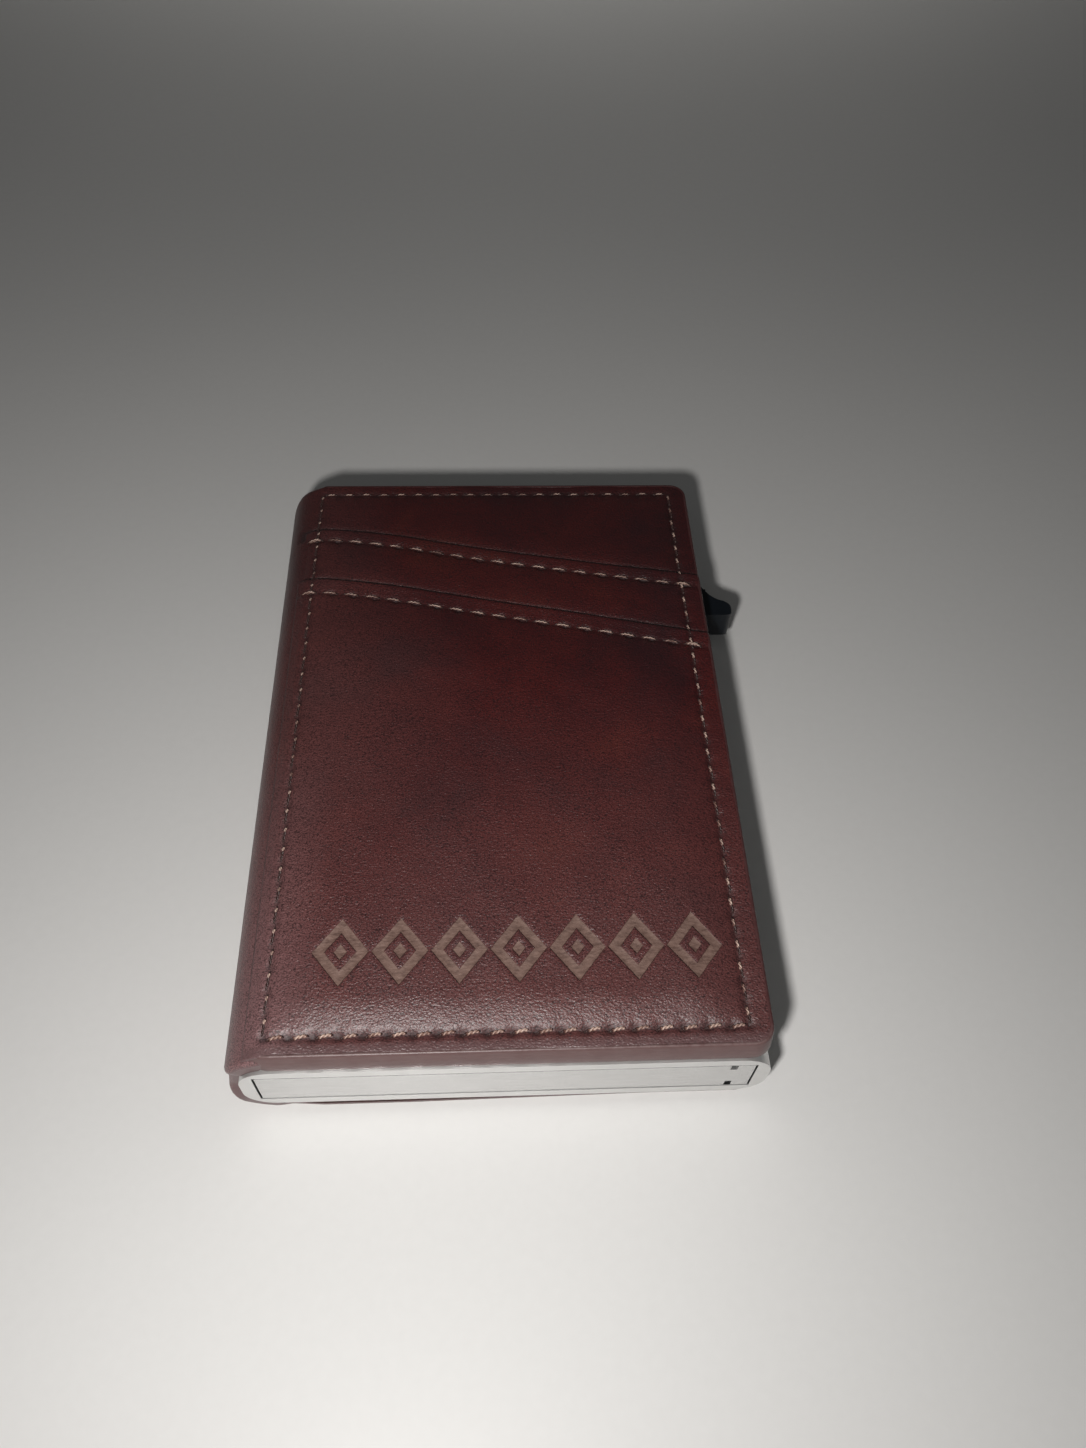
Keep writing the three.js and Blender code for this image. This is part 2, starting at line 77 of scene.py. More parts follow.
INSIDE_WALL = np.array([1.7, 0.12, 1.6])  # how far in the case's hollow, darkened with painted shade, begins, along X, Y and Z
THREAD = 0.5  # width of the CAD seams
SKIN = COVER_HIGH[2] - box_mm("cover_foam")[1][2] - 0.05  # thickness of the flat leather
FOLD_SKIN = (1.72, 0.3)  # thickness of the lined leather at the spine, and what it gains where it turns flat
FOLD = 5.8  # outer radius of the leather round each fold
FOLD_X = SPINE_LOW[0] + FOLD
TOP_FOLD_Z = COVER_HIGH[2] - FOLD
LOW_FOLD_Z = FOLD
SPINE_MIDDLE = (LOW_FOLD_Z + TOP_FOLD_Z) / 2
RIGHT = COVER_HIGH[0]
NEAR, FAR = COVER_LOW[1], COVER_HIGH[1]

SEAM_LEFT = THREAD_LOW[0] + THREAD / 2
SEAM_RIGHT = THREAD_HIGH[0] - THREAD / 2
SEAM_NEAR = THREAD_LOW[1] + THREAD / 2
SEAM_FAR = THREAD_HIGH[1] - THREAD / 2
BACK_SEAM_LEFT = BACK_THREAD_LOW[0] + THREAD / 2
BACK_SEAM_RIGHT = BACK_THREAD_HIGH[0] - THREAD / 2
BACK_SEAM_NEAR = BACK_THREAD_LOW[1] + THREAD / 2
BACK_SEAM_FAR = BACK_THREAD_HIGH[1] - THREAD / 2
SIDE_PITCH = 2.9  # stitch length round the cover
MOUTH_PITCH = 3.2  # stitch length along the pocket mouths

# Pocket mouths, from left to right: height of the mouth at a few places across
MOUTH_X = (-31.2, -24.0, 0.4, 31.6)
UPPER_MOUTH = (37.9, 37.4, 32.6, 27.1)
LOWER_MOUTH = (26.8, 26.2, 21.4, 14.9)
UPPER_DROP, LOWER_DROP = 2.4, 2.9  # from a mouth down to its seam

# The photograph's view, and the lamp beside it
CAMERA_AT = (-1.751, -93.987, 143.91)
CAMERA_RIGHT = (0.99872056, -0.03941405, 0.03168253)
CAMERA_DOWN = (-0.01331187, -0.80932948, -0.58720404)
CAMERA_LENS = 27.85
LAMP_AT = (-22.0, -113.0, 133.0)


# ---- Meshes ----


def new_object(name, verts, faces, material, smooth=40, **attributes):
    """A mesh object from points in mm. It keeps its rest place, so that a texture stays put as it bends."""
    verts = np.asarray(verts, float).reshape(-1, 3)
    mesh = bpy.data.meshes.new(name)
    mesh.from_pydata((verts * MM).tolist(), [], faces)
    mesh.validate()
    place = mesh.attributes.new("rest", "FLOAT_VECTOR", "POINT")
    place.data.foreach_set("vector", verts.astype(np.float32).ravel())
    for key, values in attributes.items():
        layer = mesh.attributes.new(key, "FLOAT", "POINT")
        layer.data.foreach_set("value", np.asarray(values, np.float32).ravel())
    obj = bpy.data.objects.new(name, mesh)
    bpy.context.scene.collection.objects.link(obj)
    mesh.materials.append(material)
    mesh.shade_smooth()
    mesh.set_sharp_from_angle(angle=math.radians(smooth))
    return obj


def grid_faces(rows, cols):
    """Faces of a grid whose points are stored row by row."""
    index = np.arange(rows * cols).reshape(rows, cols).tolist()
    return [
        (index[j][i], index[j][i + 1], index[j + 1][i + 1], index[j + 1][i])
        for j in range(rows - 1)
        for i in range(cols - 1)
    ]


def tube_faces(count, size):
    """Faces of a tube of count rings with size points each, closed at both ends."""
    ring = np.arange(count * size).reshape(count, size).tolist()
    faces = [
        (ring[k][s], ring[k + 1][s], ring[k + 1][(s + 1) % size], ring[k][(s + 1) % size])
        for k in range(count - 1)
        for s in range(size)
    ]
    return faces + [tuple(ring[0]), tuple(ring[-1][::-1])]


def closed_sheet(outer, inner):
    """Points and faces of a closed slab between two grids. Only the border of the inner grid is used."""
    rows, cols = outer.shape[:2]
    faces = grid_faces(rows, cols)
    border = (
        [(0, i) for i in range(cols)]
        + [(j, cols - 1) for j in range(1, rows)]
        + [(rows - 1, i) for i in range(cols - 2, -1, -1)]
        + [(j, 0) for j in range(rows - 2, 0, -1)]
    )
    under = {place: rows * cols + k for k, place in enumerate(border)}
    for a, b in zip(border, border[1:] + border[:1]):
        faces.append((b[0] * cols + b[1], a[0] * cols + a[1], under[a], under[b]))
    left = [under[(j, 0)] for j in range(rows)]
    right = [under[(j, cols - 1)] for j in range(rows)]
    for i in range(cols - 1):
        first = left if i == 0 else [under[(0, i)], under[(rows - 1, i)]]
        last = right if i == cols - 2 else [under[(0, i + 1)], under[(rows - 1, i + 1)]]
        faces.append(tuple(first + last[::-1]))
    points = np.concatenate([outer.reshape(-1, 3), np.array([inner[p] for p in border])])
    return points, faces, border


def steps(start, end, size):
    count = max(1, int(round(abs(end - start) / size)))
    return np.linspace(start, end, count + 1)


def chain(*pieces):
    """Runs of stations joined end to end, with no station twice."""
    joined = [pieces[0]]
    for piece in pieces[1:]:
        joined.append(piece[1:])
    return np.concatenate(joined)


RIM_STATIONS = np.array([0, 0.04, 0.13, 0.27, 0.45]) / 0.45  # shares of a rim, closest together at the edge


def edged(start, end, size, rim=0.45):
    """Stations from start to end, close together in the rounded rim at both ends."""
    rounds = RIM_STATIONS * rim
    return chain(start + rounds, steps(start + rim, end - rim, size), (end - rounds)[::-1])


def mouth_line(heights, x):
    """A smooth line through a mouth's few heights."""
    xs = np.array(MOUTH_X)
    ys = np.array(heights)
    slope = np.gradient(ys, xs)
    k = np.clip(np.searchsorted(xs, x) - 1, 0, len(xs) - 2)
    width = xs[k + 1] - xs[k]
    t = np.clip((x - xs[k]) / width, 0, 1)
    rise = (2 * t**3 - 3 * t**2 + 1) * ys[k] + (3 * t**2 - 2 * t**3) * ys[k + 1]
    lean = (t**3 - 2 * t**2 + t) * slope[k] + (t**3 - t**2) * slope[k + 1]
    return rise + lean * width


# ---- Relief of the leather ----

GROOVE_WIDTH = 0.45  # of the groove along a seam, to either side
HOLE_LENGTH = 0.5  # of a needle hole along its seam, to either side
PUCKER = 0.14  # depth of the pucker beside each needle hole
PUCKER_LENGTH, PUCKER_REACH = 0.7, 0.9  # along the seam, and away from it
GENTLE = 0.8  # how hard the sides and the far seam are pulled, beside the near seam's 1

PANEL_SWELL = 0.9  # height of the big panel's padding
NEAR_REACH, LEFT_REACH, RIGHT_REACH, FAR_REACH = 4.8, 6.5, 7.0, 12.0  # over which the padding rises


def rim_drop(distance, radius):
    """How far a rounded rim lies below the face, at a distance in from the edge."""
    d = np.clip(distance, 0, radius)
    return radius - np.sqrt(np.maximum(radius**2 - (radius - d) ** 2, 0))


def seam_dip(distance, along, pitch, depth=0.2, pit=0.22):
    """The groove that a seam pulls into the leather, deepest at each needle hole."""
    to_hole = np.abs((along / pitch + 0.5) % 1 - 0.5) * pitch
    across = (distance / GROOVE_WIDTH) ** 2
    groove = depth * np.exp(-across)
    hole = pit * np.exp(-across - (to_hole / HOLE_LENGTH) ** 2)
    pucker = PUCKER * np.exp(-((to_hole / PUCKER_LENGTH) ** 2)) * np.exp(-distance / PUCKER_REACH)
    return groove + hole + pucker


def round_seam(x, y):
    """Distance to the seam round the cover, how far inside it, and the way along it."""
    sides = np.stack([x - SEAM_LEFT, SEAM_RIGHT - x, y - SEAM_NEAR, SEAM_FAR - y])
    inside = sides.min(0)
    crosswise = sides.argmin(0) >= 2
    outside = np.linalg.norm(np.maximum(-np.stack([sides[:2].min(0), sides[2:].min(0)]), 0), axis=0)
    distance = np.where(inside >= 0, inside, outside)
    along = np.where(crosswise, x - SEAM_LEFT, y - SEAM_NEAR)
    return distance, inside, along


def round_dip(x, y):
    """Distance inside the seam round the cover, and how far it dips. The near side is pulled hardest."""
    distance, inside, along = round_seam(x, y)
    gentle = seam_dip(distance, along, SIDE_PITCH, pit=0.08) * GENTLE
    hard = seam_dip(distance, along, SIDE_PITCH)
    return inside, np.where(y < SEAM_NEAR + 1.2, hard, gentle)


def swell(depth, height, reach):
    """Padding that rises from a seam to its full height over a reach."""
    t = np.clip(depth / reach, 0, 1)
    return height * np.sin(t * math.pi / 2)


def panel_swell(x, y, far_depth):
    """Padding of the big panel: plumpest along the near seam, and softer along its sides and its far seam."""
    near = swell(y - SEAM_NEAR, 1.0, NEAR_REACH)
    side = np.minimum(swell(x - SEAM_LEFT, 1.0, LEFT_REACH), swell(SEAM_RIGHT - x, 1.0, RIGHT_REACH))
    far = swell(far_depth, 1.0, FAR_REACH)
    return PANEL_SWELL * near * side * far


def undulation(x, y):
    """Slow unevenness of hand-laid leather."""
    return (
        0.035 * np.sin(0.31 * x + 0.17 * y + 0.6)
        + 0.03 * np.sin(0.13 * x - 0.37 * y + 2.1)
        + 0.02 * np.sin(0.61 * x + 0.53 * y + 4.0)
    )


# ---- Engraved border motif ----

MOTIF_CENTRE = (1.6, -36.0)
MOTIF_PITCH = 7.2
MOTIF_COUNT = 7
MOTIF_HALF = (3.45, 4.4)  # half width and half height of one lozenge
MOTIF_INNER = 0.56  # the lozenge's hollow, as a share of its size
MOTIF_HEART = 0.24  # the small lozenge in its middle
MOTIF_DEPTH = 0.12


def motif_mask(x, y):
    """1 where the row of lozenges is engraved, 0 elsewhere."""
    half_length = MOTIF_COUNT * MOTIF_PITCH / 2
    u = x - MOTIF_CENTRE[0] + half_length
    across = np.abs(u % MOTIF_PITCH - MOTIF_PITCH / 2)
    up = np.abs(y - MOTIF_CENTRE[1])
    size = across / MOTIF_HALF[0] + up / MOTIF_HALF[1]
    lozenge = ((size < 1) & (size > MOTIF_INNER)) | (size < MOTIF_HEART)
    return (lozenge & (u > 0) & (u < 2 * half_length)).astype(float)


# ---- Materials ----


class Nodes:
    """A short way to write a material's node tree."""

    def __init__(self, name):
        self.material = bpy.data.materials.new(name)
        self.material.use_nodes = True
        self.tree = self.material.node_tree
        self.shader = self.tree.nodes["Principled BSDF"]

    def add(self, kind, inputs=None, **settings):
        node = self.tree.nodes.new(kind)
        for key, value in settings.items():
            setattr(node, key, value)
        for key, value in (inputs or {}).items():
            self.put(node.inputs[key], value)
        return node

    def put(self, socket, value):
        if isinstance(value, bpy.types.NodeSocket):
            self.tree.links.new(value, socket)
        else:
            socket.default_value = value

    def set(self, **values):
        for key, value in values.items():
            self.put(self.shader.inputs[key.replace("_", " ")], value)
        return self.material

    def math(self, operation, *values, clamp=False):
        node = self.add("ShaderNodeMath", operation=operation, use_clamp=clamp)
        for socket, value in zip(node.inputs, values):
            self.put(socket, value)
        return node.outputs[0]

    def plus(self, a, b):
        return self.math("ADD", a, b)

    def times(self, a, b):
        return self.math("MULTIPLY", a, b)

    def attribute(self, name):
        return self.add("ShaderNodeAttribute", attribute_name=name)

    def scaled(self, vector, scale):
        return self.add("ShaderNodeMapping", {"Vector": vector, "Scale": scale}).outputs[0]

    def noise(self, vector, scale, detail, roughness, distortion=0.0):
        values = {"Vector": vector, "Scale": scale, "Detail": detail}
        values.update({"Roughness": roughness, "Distortion": distortion})
        return self.add("ShaderNodeTexNoise", values).outputs[0]

    def cells(self, vector, scale, feature):
        values = {"Vector": vector, "Scale": scale, "Randomness": 1.0}
        return self.add("ShaderNodeTexVoronoi", values, feature=feature).outputs[0]

    def ramp(self, factor, *stops):
        node = self.add("ShaderNodeValToRGB", {"Fac": factor})
        elements = node.color_ramp.elements
        while len(elements) < len(stops):
            elements.new(0.5)
        for element, (position, colour) in zip(elements, stops):
            element.position = position
            element.color = (*colour, 1)
        return node.outputs[0]

    def span(self, value, low, high, to_low=0.0, to_high=1.0):
        values = {"Value": value, "From Min": low, "From Max": high, "To Min": to_low, "To Max": to_high}
        return self.add("ShaderNodeMapRange", values, clamp=True).outputs[0]

    def mix(self, factor, a, b):
        node = self.add("ShaderNodeMix", data_type="RGBA", blend_type="MIX")
        self.put(node.inputs[0], factor)
        for socket, value in ((node.inputs[6], a), (node.inputs[7], b)):
            self.put(socket, (*value, 1) if isinstance(value, tuple) else value)
        return node.outputs[2]

    def bump(self, height, distance, strength):
        values = {"Height": height, "Distance": distance * MM, "Strength": strength}
        return self.add("ShaderNodeBump", values).outputs[0]


LEATHER_TONES = (
    (0.34, (0.052, 0.0090, 0.0115)),
    (0.48, (0.084, 0.0085, 0.0090)),
    (0.58, (0.106, 0.0108, 0.0098)),
    (0.70, (0.130, 0.0180, 0.0110)),
)
BURNT_TONES = (
    (0.32, (0.105, 0.055, 0.042)),
    (0.52, (0.190, 0.112, 0.088)),
    (0.70, (0.250, 0.155, 0.125)),
)
SHADED_FAR_TONE = (0.020, 0.0028, 0.0032)  # painted shade towards the far end
SHEEN_TONE = (0.172, 0.070, 0.066)  # painted sheen towards the left and the near end
FOLD_SHEEN_TONE = (0.300, 0.165, 0.168)  # painted sheen on the fold
PORE = (0.014, 0.004, 0.005)
SEAM_SHADE = (0.010, 0.003, 0.0035)
CUT_RIM = (0.134, 0.074, 0.075)


def leather_material():
    n = Nodes("cover_leather")
    place = n.attribute("rest").outputs["Vector"]
    groove = n.attribute("groove").outputs["Fac"]
    rim = n.attribute("rim").outputs["Fac"]
    clouds = n.noise(place, 0.21, 4, 0.6)
    pores = n.cells(n.scaled(place, (5.4, 6.6, 6.0)), 1.0, "F1")
    motif = motif_nodes(n, place)
    colour = leather_with_painted_light(n, place, clouds)
    colour = n.mix(n.span(pores, 0.36, 0.8, 0, 0.78), colour, PORE)
    colour = n.mix(n.times(motif, 0.94), colour, burnt_leather(n, place))
    # Painted shade from the groove attribute: in the seam grooves, along the pocket mouths and in the gaps
    # beyond them.
    colour = n.mix(n.times(groove, 0.72), colour, SEAM_SHADE)
    colour = n.mix(rim, colour, CUT_RIM)
    shine = n.plus(n.times(clouds, 0.12), n.times(motif, 0.2))
    return n.set(
        Base_Color=colour,
        Roughness=n.plus(n.plus(0.37, n.times(groove, 0.3)), shine),
        Normal=leather_normal(n, place, pores, motif, rim),
        Specular_IOR_Level=0.68,
        Coat_Weight=0.32,
        Coat_Roughness=0.5,
    )


def leather_with_painted_light(n, place, clouds):
    """Mottled leather, with painted shade towards the far end and a painted sheen towards the left, the near
    end and the fold.
    """
    patches = n.noise(place, 0.055, 3, 0.55, 0.4)
    tone = n.plus(n.times(patches, 0.7), n.times(clouds, 0.3))
    split = n.add("ShaderNodeSeparateXYZ", {0: place})
    x, y = split.outputs[0], split.outputs[1]
    # Painted shade towards the far end, and painted sheen towards the left, the near end and the fold.
    far_shade = n.span(y, 4.0, 36.0, 0.0, 0.34)
    towards_left = n.span(x, 0.0, -28.0, 0.0, 0.58)
    towards_near = n.span(y, 4.0, -44.0, 0.0, 0.62)
    near_left_sheen = n.math("SUBTRACT", n.math("MAXIMUM", towards_left, towards_near), far_shade, clamp=True)
    on_fold = n.span(x, -22.0, -30.0)
    fold_sheen = n.times(on_fold, n.span(y, 0.0, -46.0, 0.0, 0.78))
    colour = n.mix(far_shade, n.ramp(tone, *LEATHER_TONES), SHADED_FAR_TONE)
    colour = n.mix(near_left_sheen, colour, SHEEN_TONE)
    return n.mix(fold_sheen, colour, FOLD_SHEEN_TONE)


def burnt_leather(n, place):
    scorch = n.noise(n.scaled(place, (1.1, 2.4, 1.0)), 1.0, 5, 0.65)
    return n.ramp(scorch, *BURNT_TONES)


def leather_normal(n, place, pores, motif, rim):
    """Pebble grain with creases. It is flatter on a painted rim and where the motif is burnt in."""
    pebbles = n.cells(n.scaled(place, (3.1, 4.0, 3.4)), 1.0, "SMOOTH_F1")
    creases = n.noise(n.scaled(place, (0.8, 2.2, 1.5)), 1.0, 4, 0.62, 0.8)
    grain = n.math("SUBTRACT", 1.0, n.plus(pebbles, n.times(pores, 0.3)))
    relief = n.plus(grain, n.times(creases, 0.8))
    flattened = n.math("MAXIMUM", n.span(rim, 0.75, 1.0), n.times(motif, 0.6))
    lively = n.math("SUBTRACT", 1.0, flattened, clamp=True)
    height = n.times(relief, n.math("MAXIMUM", lively, 0.06))
    sunk = n.times(motif, -0.9)
    return n.bump(n.plus(height, sunk), 0.09, 0.88)


def motif_nodes(n, place):
    """The same row as motif_mask, drawn by the material so that its outline is crisp."""
    split = n.add("ShaderNodeSeparateXYZ", {0: place})
    x, y, z = split.outputs
    half_length = MOTIF_COUNT * MOTIF_PITCH / 2
    u = n.math("SUBTRACT", x, MOTIF_CENTRE[0] - half_length)
    across = n.math("ABSOLUTE", n.math("SUBTRACT", n.math("FLOORED_MODULO", u, MOTIF_PITCH), MOTIF_PITCH / 2))
    up = n.math("ABSOLUTE", n.math("SUBTRACT", y, MOTIF_CENTRE[1]))
    size = n.plus(n.math("DIVIDE", across, MOTIF_HALF[0]), n.math("DIVIDE", up, MOTIF_HALF[1]))
    soft = 0.02
    body = n.span(size, 1 - soft, 1 + soft, 1, 0)
    hollow = n.span(size, MOTIF_INNER - soft, MOTIF_INNER + soft, 0, 1)
    heart = n.span(size, MOTIF_HEART - soft, MOTIF_HEART + soft, 1, 0)
    lozenge = n.math("MAXIMUM", n.times(body, hollow), heart)
    ends = n.math("COMPARE", u, half_length, half_length)
    on_top = n.math("GREATER_THAN", z, LOWER_LOW[2])
    return n.times(n.times(lozenge, ends), on_top)


def aluminium_material():
    n = Nodes("satin_aluminium")
    place = n.add("ShaderNodeTexCoord").outputs["Object"]
    drawn = n.noise(n.scaled(place, (2500, 60, 2500)), 1.0, 3, 0.6)
    blast = n.noise(place, 9000.0, 2, 0.5)
    smudge = n.noise(place, 90.0, 3, 0.5)
    relief = n.plus(drawn, n.times(blast, 0.6))
    satin = n.ramp(smudge, (0.3, (0.68, 0.675, 0.665)), (0.7, (0.77, 0.765, 0.755)))
    # The hollow gets a near-black painted shade in place of the satin tone.
    return n.set(
        Base_Color=n.mix(case_hollow_shade(n, place), satin, (0.035, 0.035, 0.036)),
        Metallic=0.75,
        Roughness=n.plus(0.3, n.times(smudge, 0.14)),
        Normal=n.bump(relief, 0.01, 0.5),
    )


def case_hollow_shade(n, place):
    """1 within the case's hollow, which is darkened with painted shade, and 0 on its outside."""
    middle = (CASE_LOW + CASE_HIGH) / 2 * MM
    half = ((CASE_HIGH - CASE_LOW) / 2 - INSIDE_WALL) * MM
    split = n.add("ShaderNodeSeparateXYZ", {0: place})
    within = [n.math("COMPARE", split.outputs[k], middle[k], half[k]) for k in range(3)]
    return n.times(n.times(within[0], within[1]), within[2])


def plate_material():
    n = Nodes("plate_aluminium")
    place = n.add("ShaderNodeTexCoord").outputs["Object"]
    brushed = n.noise(n.scaled(place, (300, 900, 6000)), 1.0, 4, 0.65)
    speck = n.noise(place, 2600.0, 2, 0.5)
    tone = n.plus(n.times(brushed, 0.7), n.times(speck, 0.3))
    return n.set(
        Base_Color=n.ramp(tone, (0.3, (0.49, 0.485, 0.48)), (0.7, (0.67, 0.665, 0.66))),
        Metallic=0.8,
        Roughness=n.plus(0.1, n.times(tone, 0.1)),
        Normal=n.bump(tone, 0.004, 0.3),
    )


def plastic_material(name, colour, roughness):
    n = Nodes(name)
    place = n.add("ShaderNodeTexCoord").outputs["Object"]
    spark = n.noise(place, 5200.0, 2, 0.5)
    flow = n.noise(place, 160.0, 3, 0.5)
    lighter = tuple(c * 1.7 for c in colour)
    return n.set(
        Base_Color=n.ramp(flow, (0.35, colour), (0.7, lighter)),
        Roughness=n.plus(roughness, n.times(flow, 0.12)),
        Normal=n.bump(spark, 0.02, 0.5),
    )


def thread_material():
    n = Nodes("thread")
    place = n.attribute("rest").outputs["Vector"]
    fibre = n.noise(place, 9.0, 4, 0.6)
    glint_strength = n.noise(place, 0.3, 2, 0.5)
    crest = n.attribute("crest").outputs["Fac"]
    # Painted highlight on the ply crests and painted shade between plies and at the sunk ends; its strength
    # varies along the thread.
    painted_glint = n.times(crest, n.span(glint_strength, 0.3, 0.6, 0.45, 1.0))
    colour = n.ramp(
        painted_glint,
        (0.20, (0.040, 0.014, 0.012)),
        (0.50, (0.20, 0.100, 0.078)),
        (0.90, (0.60, 0.43, 0.355)),
    )
    return n.set(
        Base_Color=colour,
        Roughness=0.42,
        Specular_IOR_Level=0.5,
        Sheen_Weight=0.1,
        Normal=n.bump(fibre, 0.02, 0.6),
    )


def edge_paint_material():
    n = Nodes("edge_paint")
    place = n.attribute("rest").outputs["Vector"]
    brushed = n.noise(n.scaled(place, (0.5, 0.5, 4.0)), 1.0, 4, 0.6)
    chips = n.noise(place, 1.4, 4, 0.7)
    colour = n.ramp(brushed, (0.3, (0.118, 0.062, 0.060)), (0.7, (0.150, 0.083, 0.080)))
    # Painted shade darkens the edge where it faces right or far, away from the lamp.
    worn_pale = n.attribute("pale").outputs["Fac"]
    colour = n.mix(worn_pale, (0.062, 0.018, 0.018), colour)
    # A painted highlight lightens the arris, broken up by the chips.
    arris = n.attribute("arris").outputs["Fac"]
    painted_glint = n.times(arris, n.span(chips, 0.42, 0.56))
    colour = n.mix(painted_glint, colour, (0.19, 0.125, 0.120))
    return n.set(
        Base_Color=colour,
        Roughness=n.plus(0.36, n.times(chips, 0.15)),
        Normal=n.bump(chips, 0.06, 0.6),
        Coat_Weight=0.15,
        Coat_Roughness=0.3,
    )


def fabric_material(name, dark, light, scale, roughness=0.9):
    n = Nodes(name)
    place = n.add("ShaderNodeTexCoord").outputs["Object"]
    nap = n.noise(place, scale, 4, 0.7)
    patches = n.noise(place, scale / 25, 3, 0.5)
    tone = n.plus(n.times(nap, 0.55), n.times(patches, 0.45))
    return n.set(
        Base_Color=n.ramp(tone, (0.35, dark), (0.65, light)),
        Roughness=roughness,
        Sheen_Weight=0.35,
        Sheen_Roughness=0.5,
        Normal=n.bump(nap, 0.08, 0.7),
    )


def floor_material():
    n = Nodes("floor")
    place = n.add("ShaderNodeTexCoord").outputs["Object"]
    mist = n.noise(place, 700.0, 3, 0.6)
    broad = n.noise(place, 6.0, 2, 0.5)
    colour = n.ramp(
        n.plus(n.times(mist, 0.25), n.times(broad, 0.75)),
        (0.3, (0.76, 0.75, 0.735)),
        (0.7, (0.82, 0.81, 0.795)),
    )
    return n.set(
        Base_Color=colour,
        Roughness=0.42,
        Specular_IOR_Level=0.35,
        Normal=n.bump(mist, 0.01, 0.3),
    )


LEATHER = leather_material()
ALUMINIUM = aluminium_material()
PLATE = plate_material()
LEVER = plastic_material("lever_plastic", (0.004, 0.006, 0.009), 0.34)
SLIDER = plastic_material("slider_plastic", (0.014, 0.014, 0.016), 0.5)
STITCH = thread_material()
EDGE_PAINT = edge_paint_material()
LINING = fabric_material("lining", (0.030, 0.012, 0.011), (0.075, 0.034, 0.030), 5200.0)
INNER_POCKET = fabric_material("pocket_lining", (0.062, 0.027, 0.024), (0.120, 0.060, 0.053), 5200.0)
FELT = fabric_material("felt", (0.02, 0.02, 0.022), (0.06, 0.06, 0.064), 3600.0)
FOAM = fabric_material("foam", (0.45, 0.43, 0.40), (0.62, 0.60, 0.56), 4200.0)
BOARD = fabric_material("paperboard", (0.22, 0.20, 0.18), (0.36, 0.33, 0.29), 2500.0)
TAPE = fabric_material("adhesive_tape", (0.62, 0.60, 0.54), (0.78, 0.76, 0.68), 1800.0, 0.5)


# ---- Camera, floor and lights ----


def make_camera():
    data = bpy.data.cameras.new("camera")
    data.sensor_width = 36
    data.lens = CAMERA_LENS
    data.clip_start, data.clip_end = 0.01, 20
    camera = bpy.data.objects.new("camera", data)
    bpy.context.scene.collection.objects.link(camera)
    right = Vector(CAMERA_RIGHT).normalized()
    up = -Vector(CAMERA_DOWN).normalized()
    turn = Matrix((right, up, right.cross(up))).transposed().to_4x4()
    camera.matrix_world = Matrix.Translation(Vector(CAMERA_AT) * MM) @ turn
    bpy.context.scene.camera = camera


def make_floor():
    reach = 3000
    cells = 12
    line = np.linspace(-reach, reach, cells + 1)
    x, y = np.meshgrid(line, line)
    points = np.stack([x, y, np.zeros_like(x)], -1)
    faces = grid_faces(cells + 1, cells + 1)
    new_object("floor", points, faces, floor_material())


def area_light(name, at, aim, size, power, colour, spread=180):
    """A disk lamp. Its size is in mm, its power in watts and its spread in degrees."""
    data = bpy.data.lights.new(name, "AREA")
    data.shape = "DISK"
    data.size = size * MM
    data.energy = power
    data.spread = math.radians(spread)
    data.color = colour
    lamp = bpy.data.objects.new(name, data)
    bpy.context.scene.collection.objects.link(lamp)
    lamp.location = Vector(at) * MM
    lamp.rotation_euler = (Vector(aim) - Vector(at)).to_track_quat("-Z", "Y").to_euler()


def make_lights():
    """A small lamp beside the camera, a wide soft fill, and a soft light on the floor beyond the wallet."""
    area_light("key", LAMP_AT, (0, 10, 0), 12, 0.205, (1.0, 0.985, 0.965))
    area_light("fill", (-80, -400, 620), (0, 0, 0), 600, 0.25, (1.0, 0.99, 0.97))
    area_light("far fill", (10, 470, 400), (10, 500, 0), 300, 0.21, (1.0, 0.99, 0.96), spread=70)
    world = bpy.data.worlds.new("studio")
    world.use_nodes = True
    background = world.node_tree.nodes["Background"]
    background.inputs["Color"].default_value = (0.98, 1.0, 1.0, 1)
    background.inputs["Strength"].default_value = 0.038
    bpy.context.scene.world = world
    bpy.context.scene.view_settings.view_transform = "Standard"


# ---- Leather skins ----

CORNER = 2.5  # radius of the cover's two corners at its free edge
SPINE_CORNERS = (1.1, 2.4)  # radius of its near and its far corner on the fold
FOLD_OUT = 0.4  # how far the fold stands out at the near end
BACK_PEEP = 0.35  # how far the back leather shows under the case's near end
SKIN_RIM, FOLD_RIM = 0.3, 0.6  # radius of a skin's rounded rim, and what it gains on the fold
SKIN_CELL = 0.42  # size of a skin's mesh cells
BULGE = 0.65  # how far the leather stands off the lower fold at its near end
BULGE_Z, BULGE_HEIGHT, BULGE_REACH = 4.2, 2.4, 5  # its middle, half its height, and its reach along Y


def inset(distance, radius):
    """How far a rounded corner pulls an edge in, at a distance from the corner."""
    d = np.clip(radius - distance, 0, radius)
    return radius - np.sqrt(radius**2 - d**2)


def plan_limits(x):
    """Near and far limits of the cover's outline at x, with its corners rounded."""
    from_left = x - SPINE_LOW[0]
    from_right = RIGHT - x
    on_fold = np.clip((FOLD_X + 1 - x) / 2, 0, 1)
    near = NEAR + inset(from_right, CORNER) + inset(from_left, SPINE_CORNERS[0]) - FOLD_OUT * on_fold
    far = FAR - inset(from_right, CORNER) - inset(from_left, SPINE_CORNERS[1])
    return near, far


def back_peep(x, normal):
    """The back leather shows a little under the case's near end, less towards the right."""
    from_fold = np.clip((x - FOLD_X) / 5, 0, 1)
    return BACK_PEEP * np.clip((18 - x) / 30, 0, 1) * from_fold * (normal[:, 1] < 0)


def near_bulge(z, from_near):
    """The leather stands off the lower fold towards its near end, where the cut end is widest."""
    by_height = np.exp(-(((z - BULGE_Z) / BULGE_HEIGHT) ** 2))
    return BULGE * by_height[None, :] * np.exp(-np.maximum(from_near, 0) / BULGE_REACH)


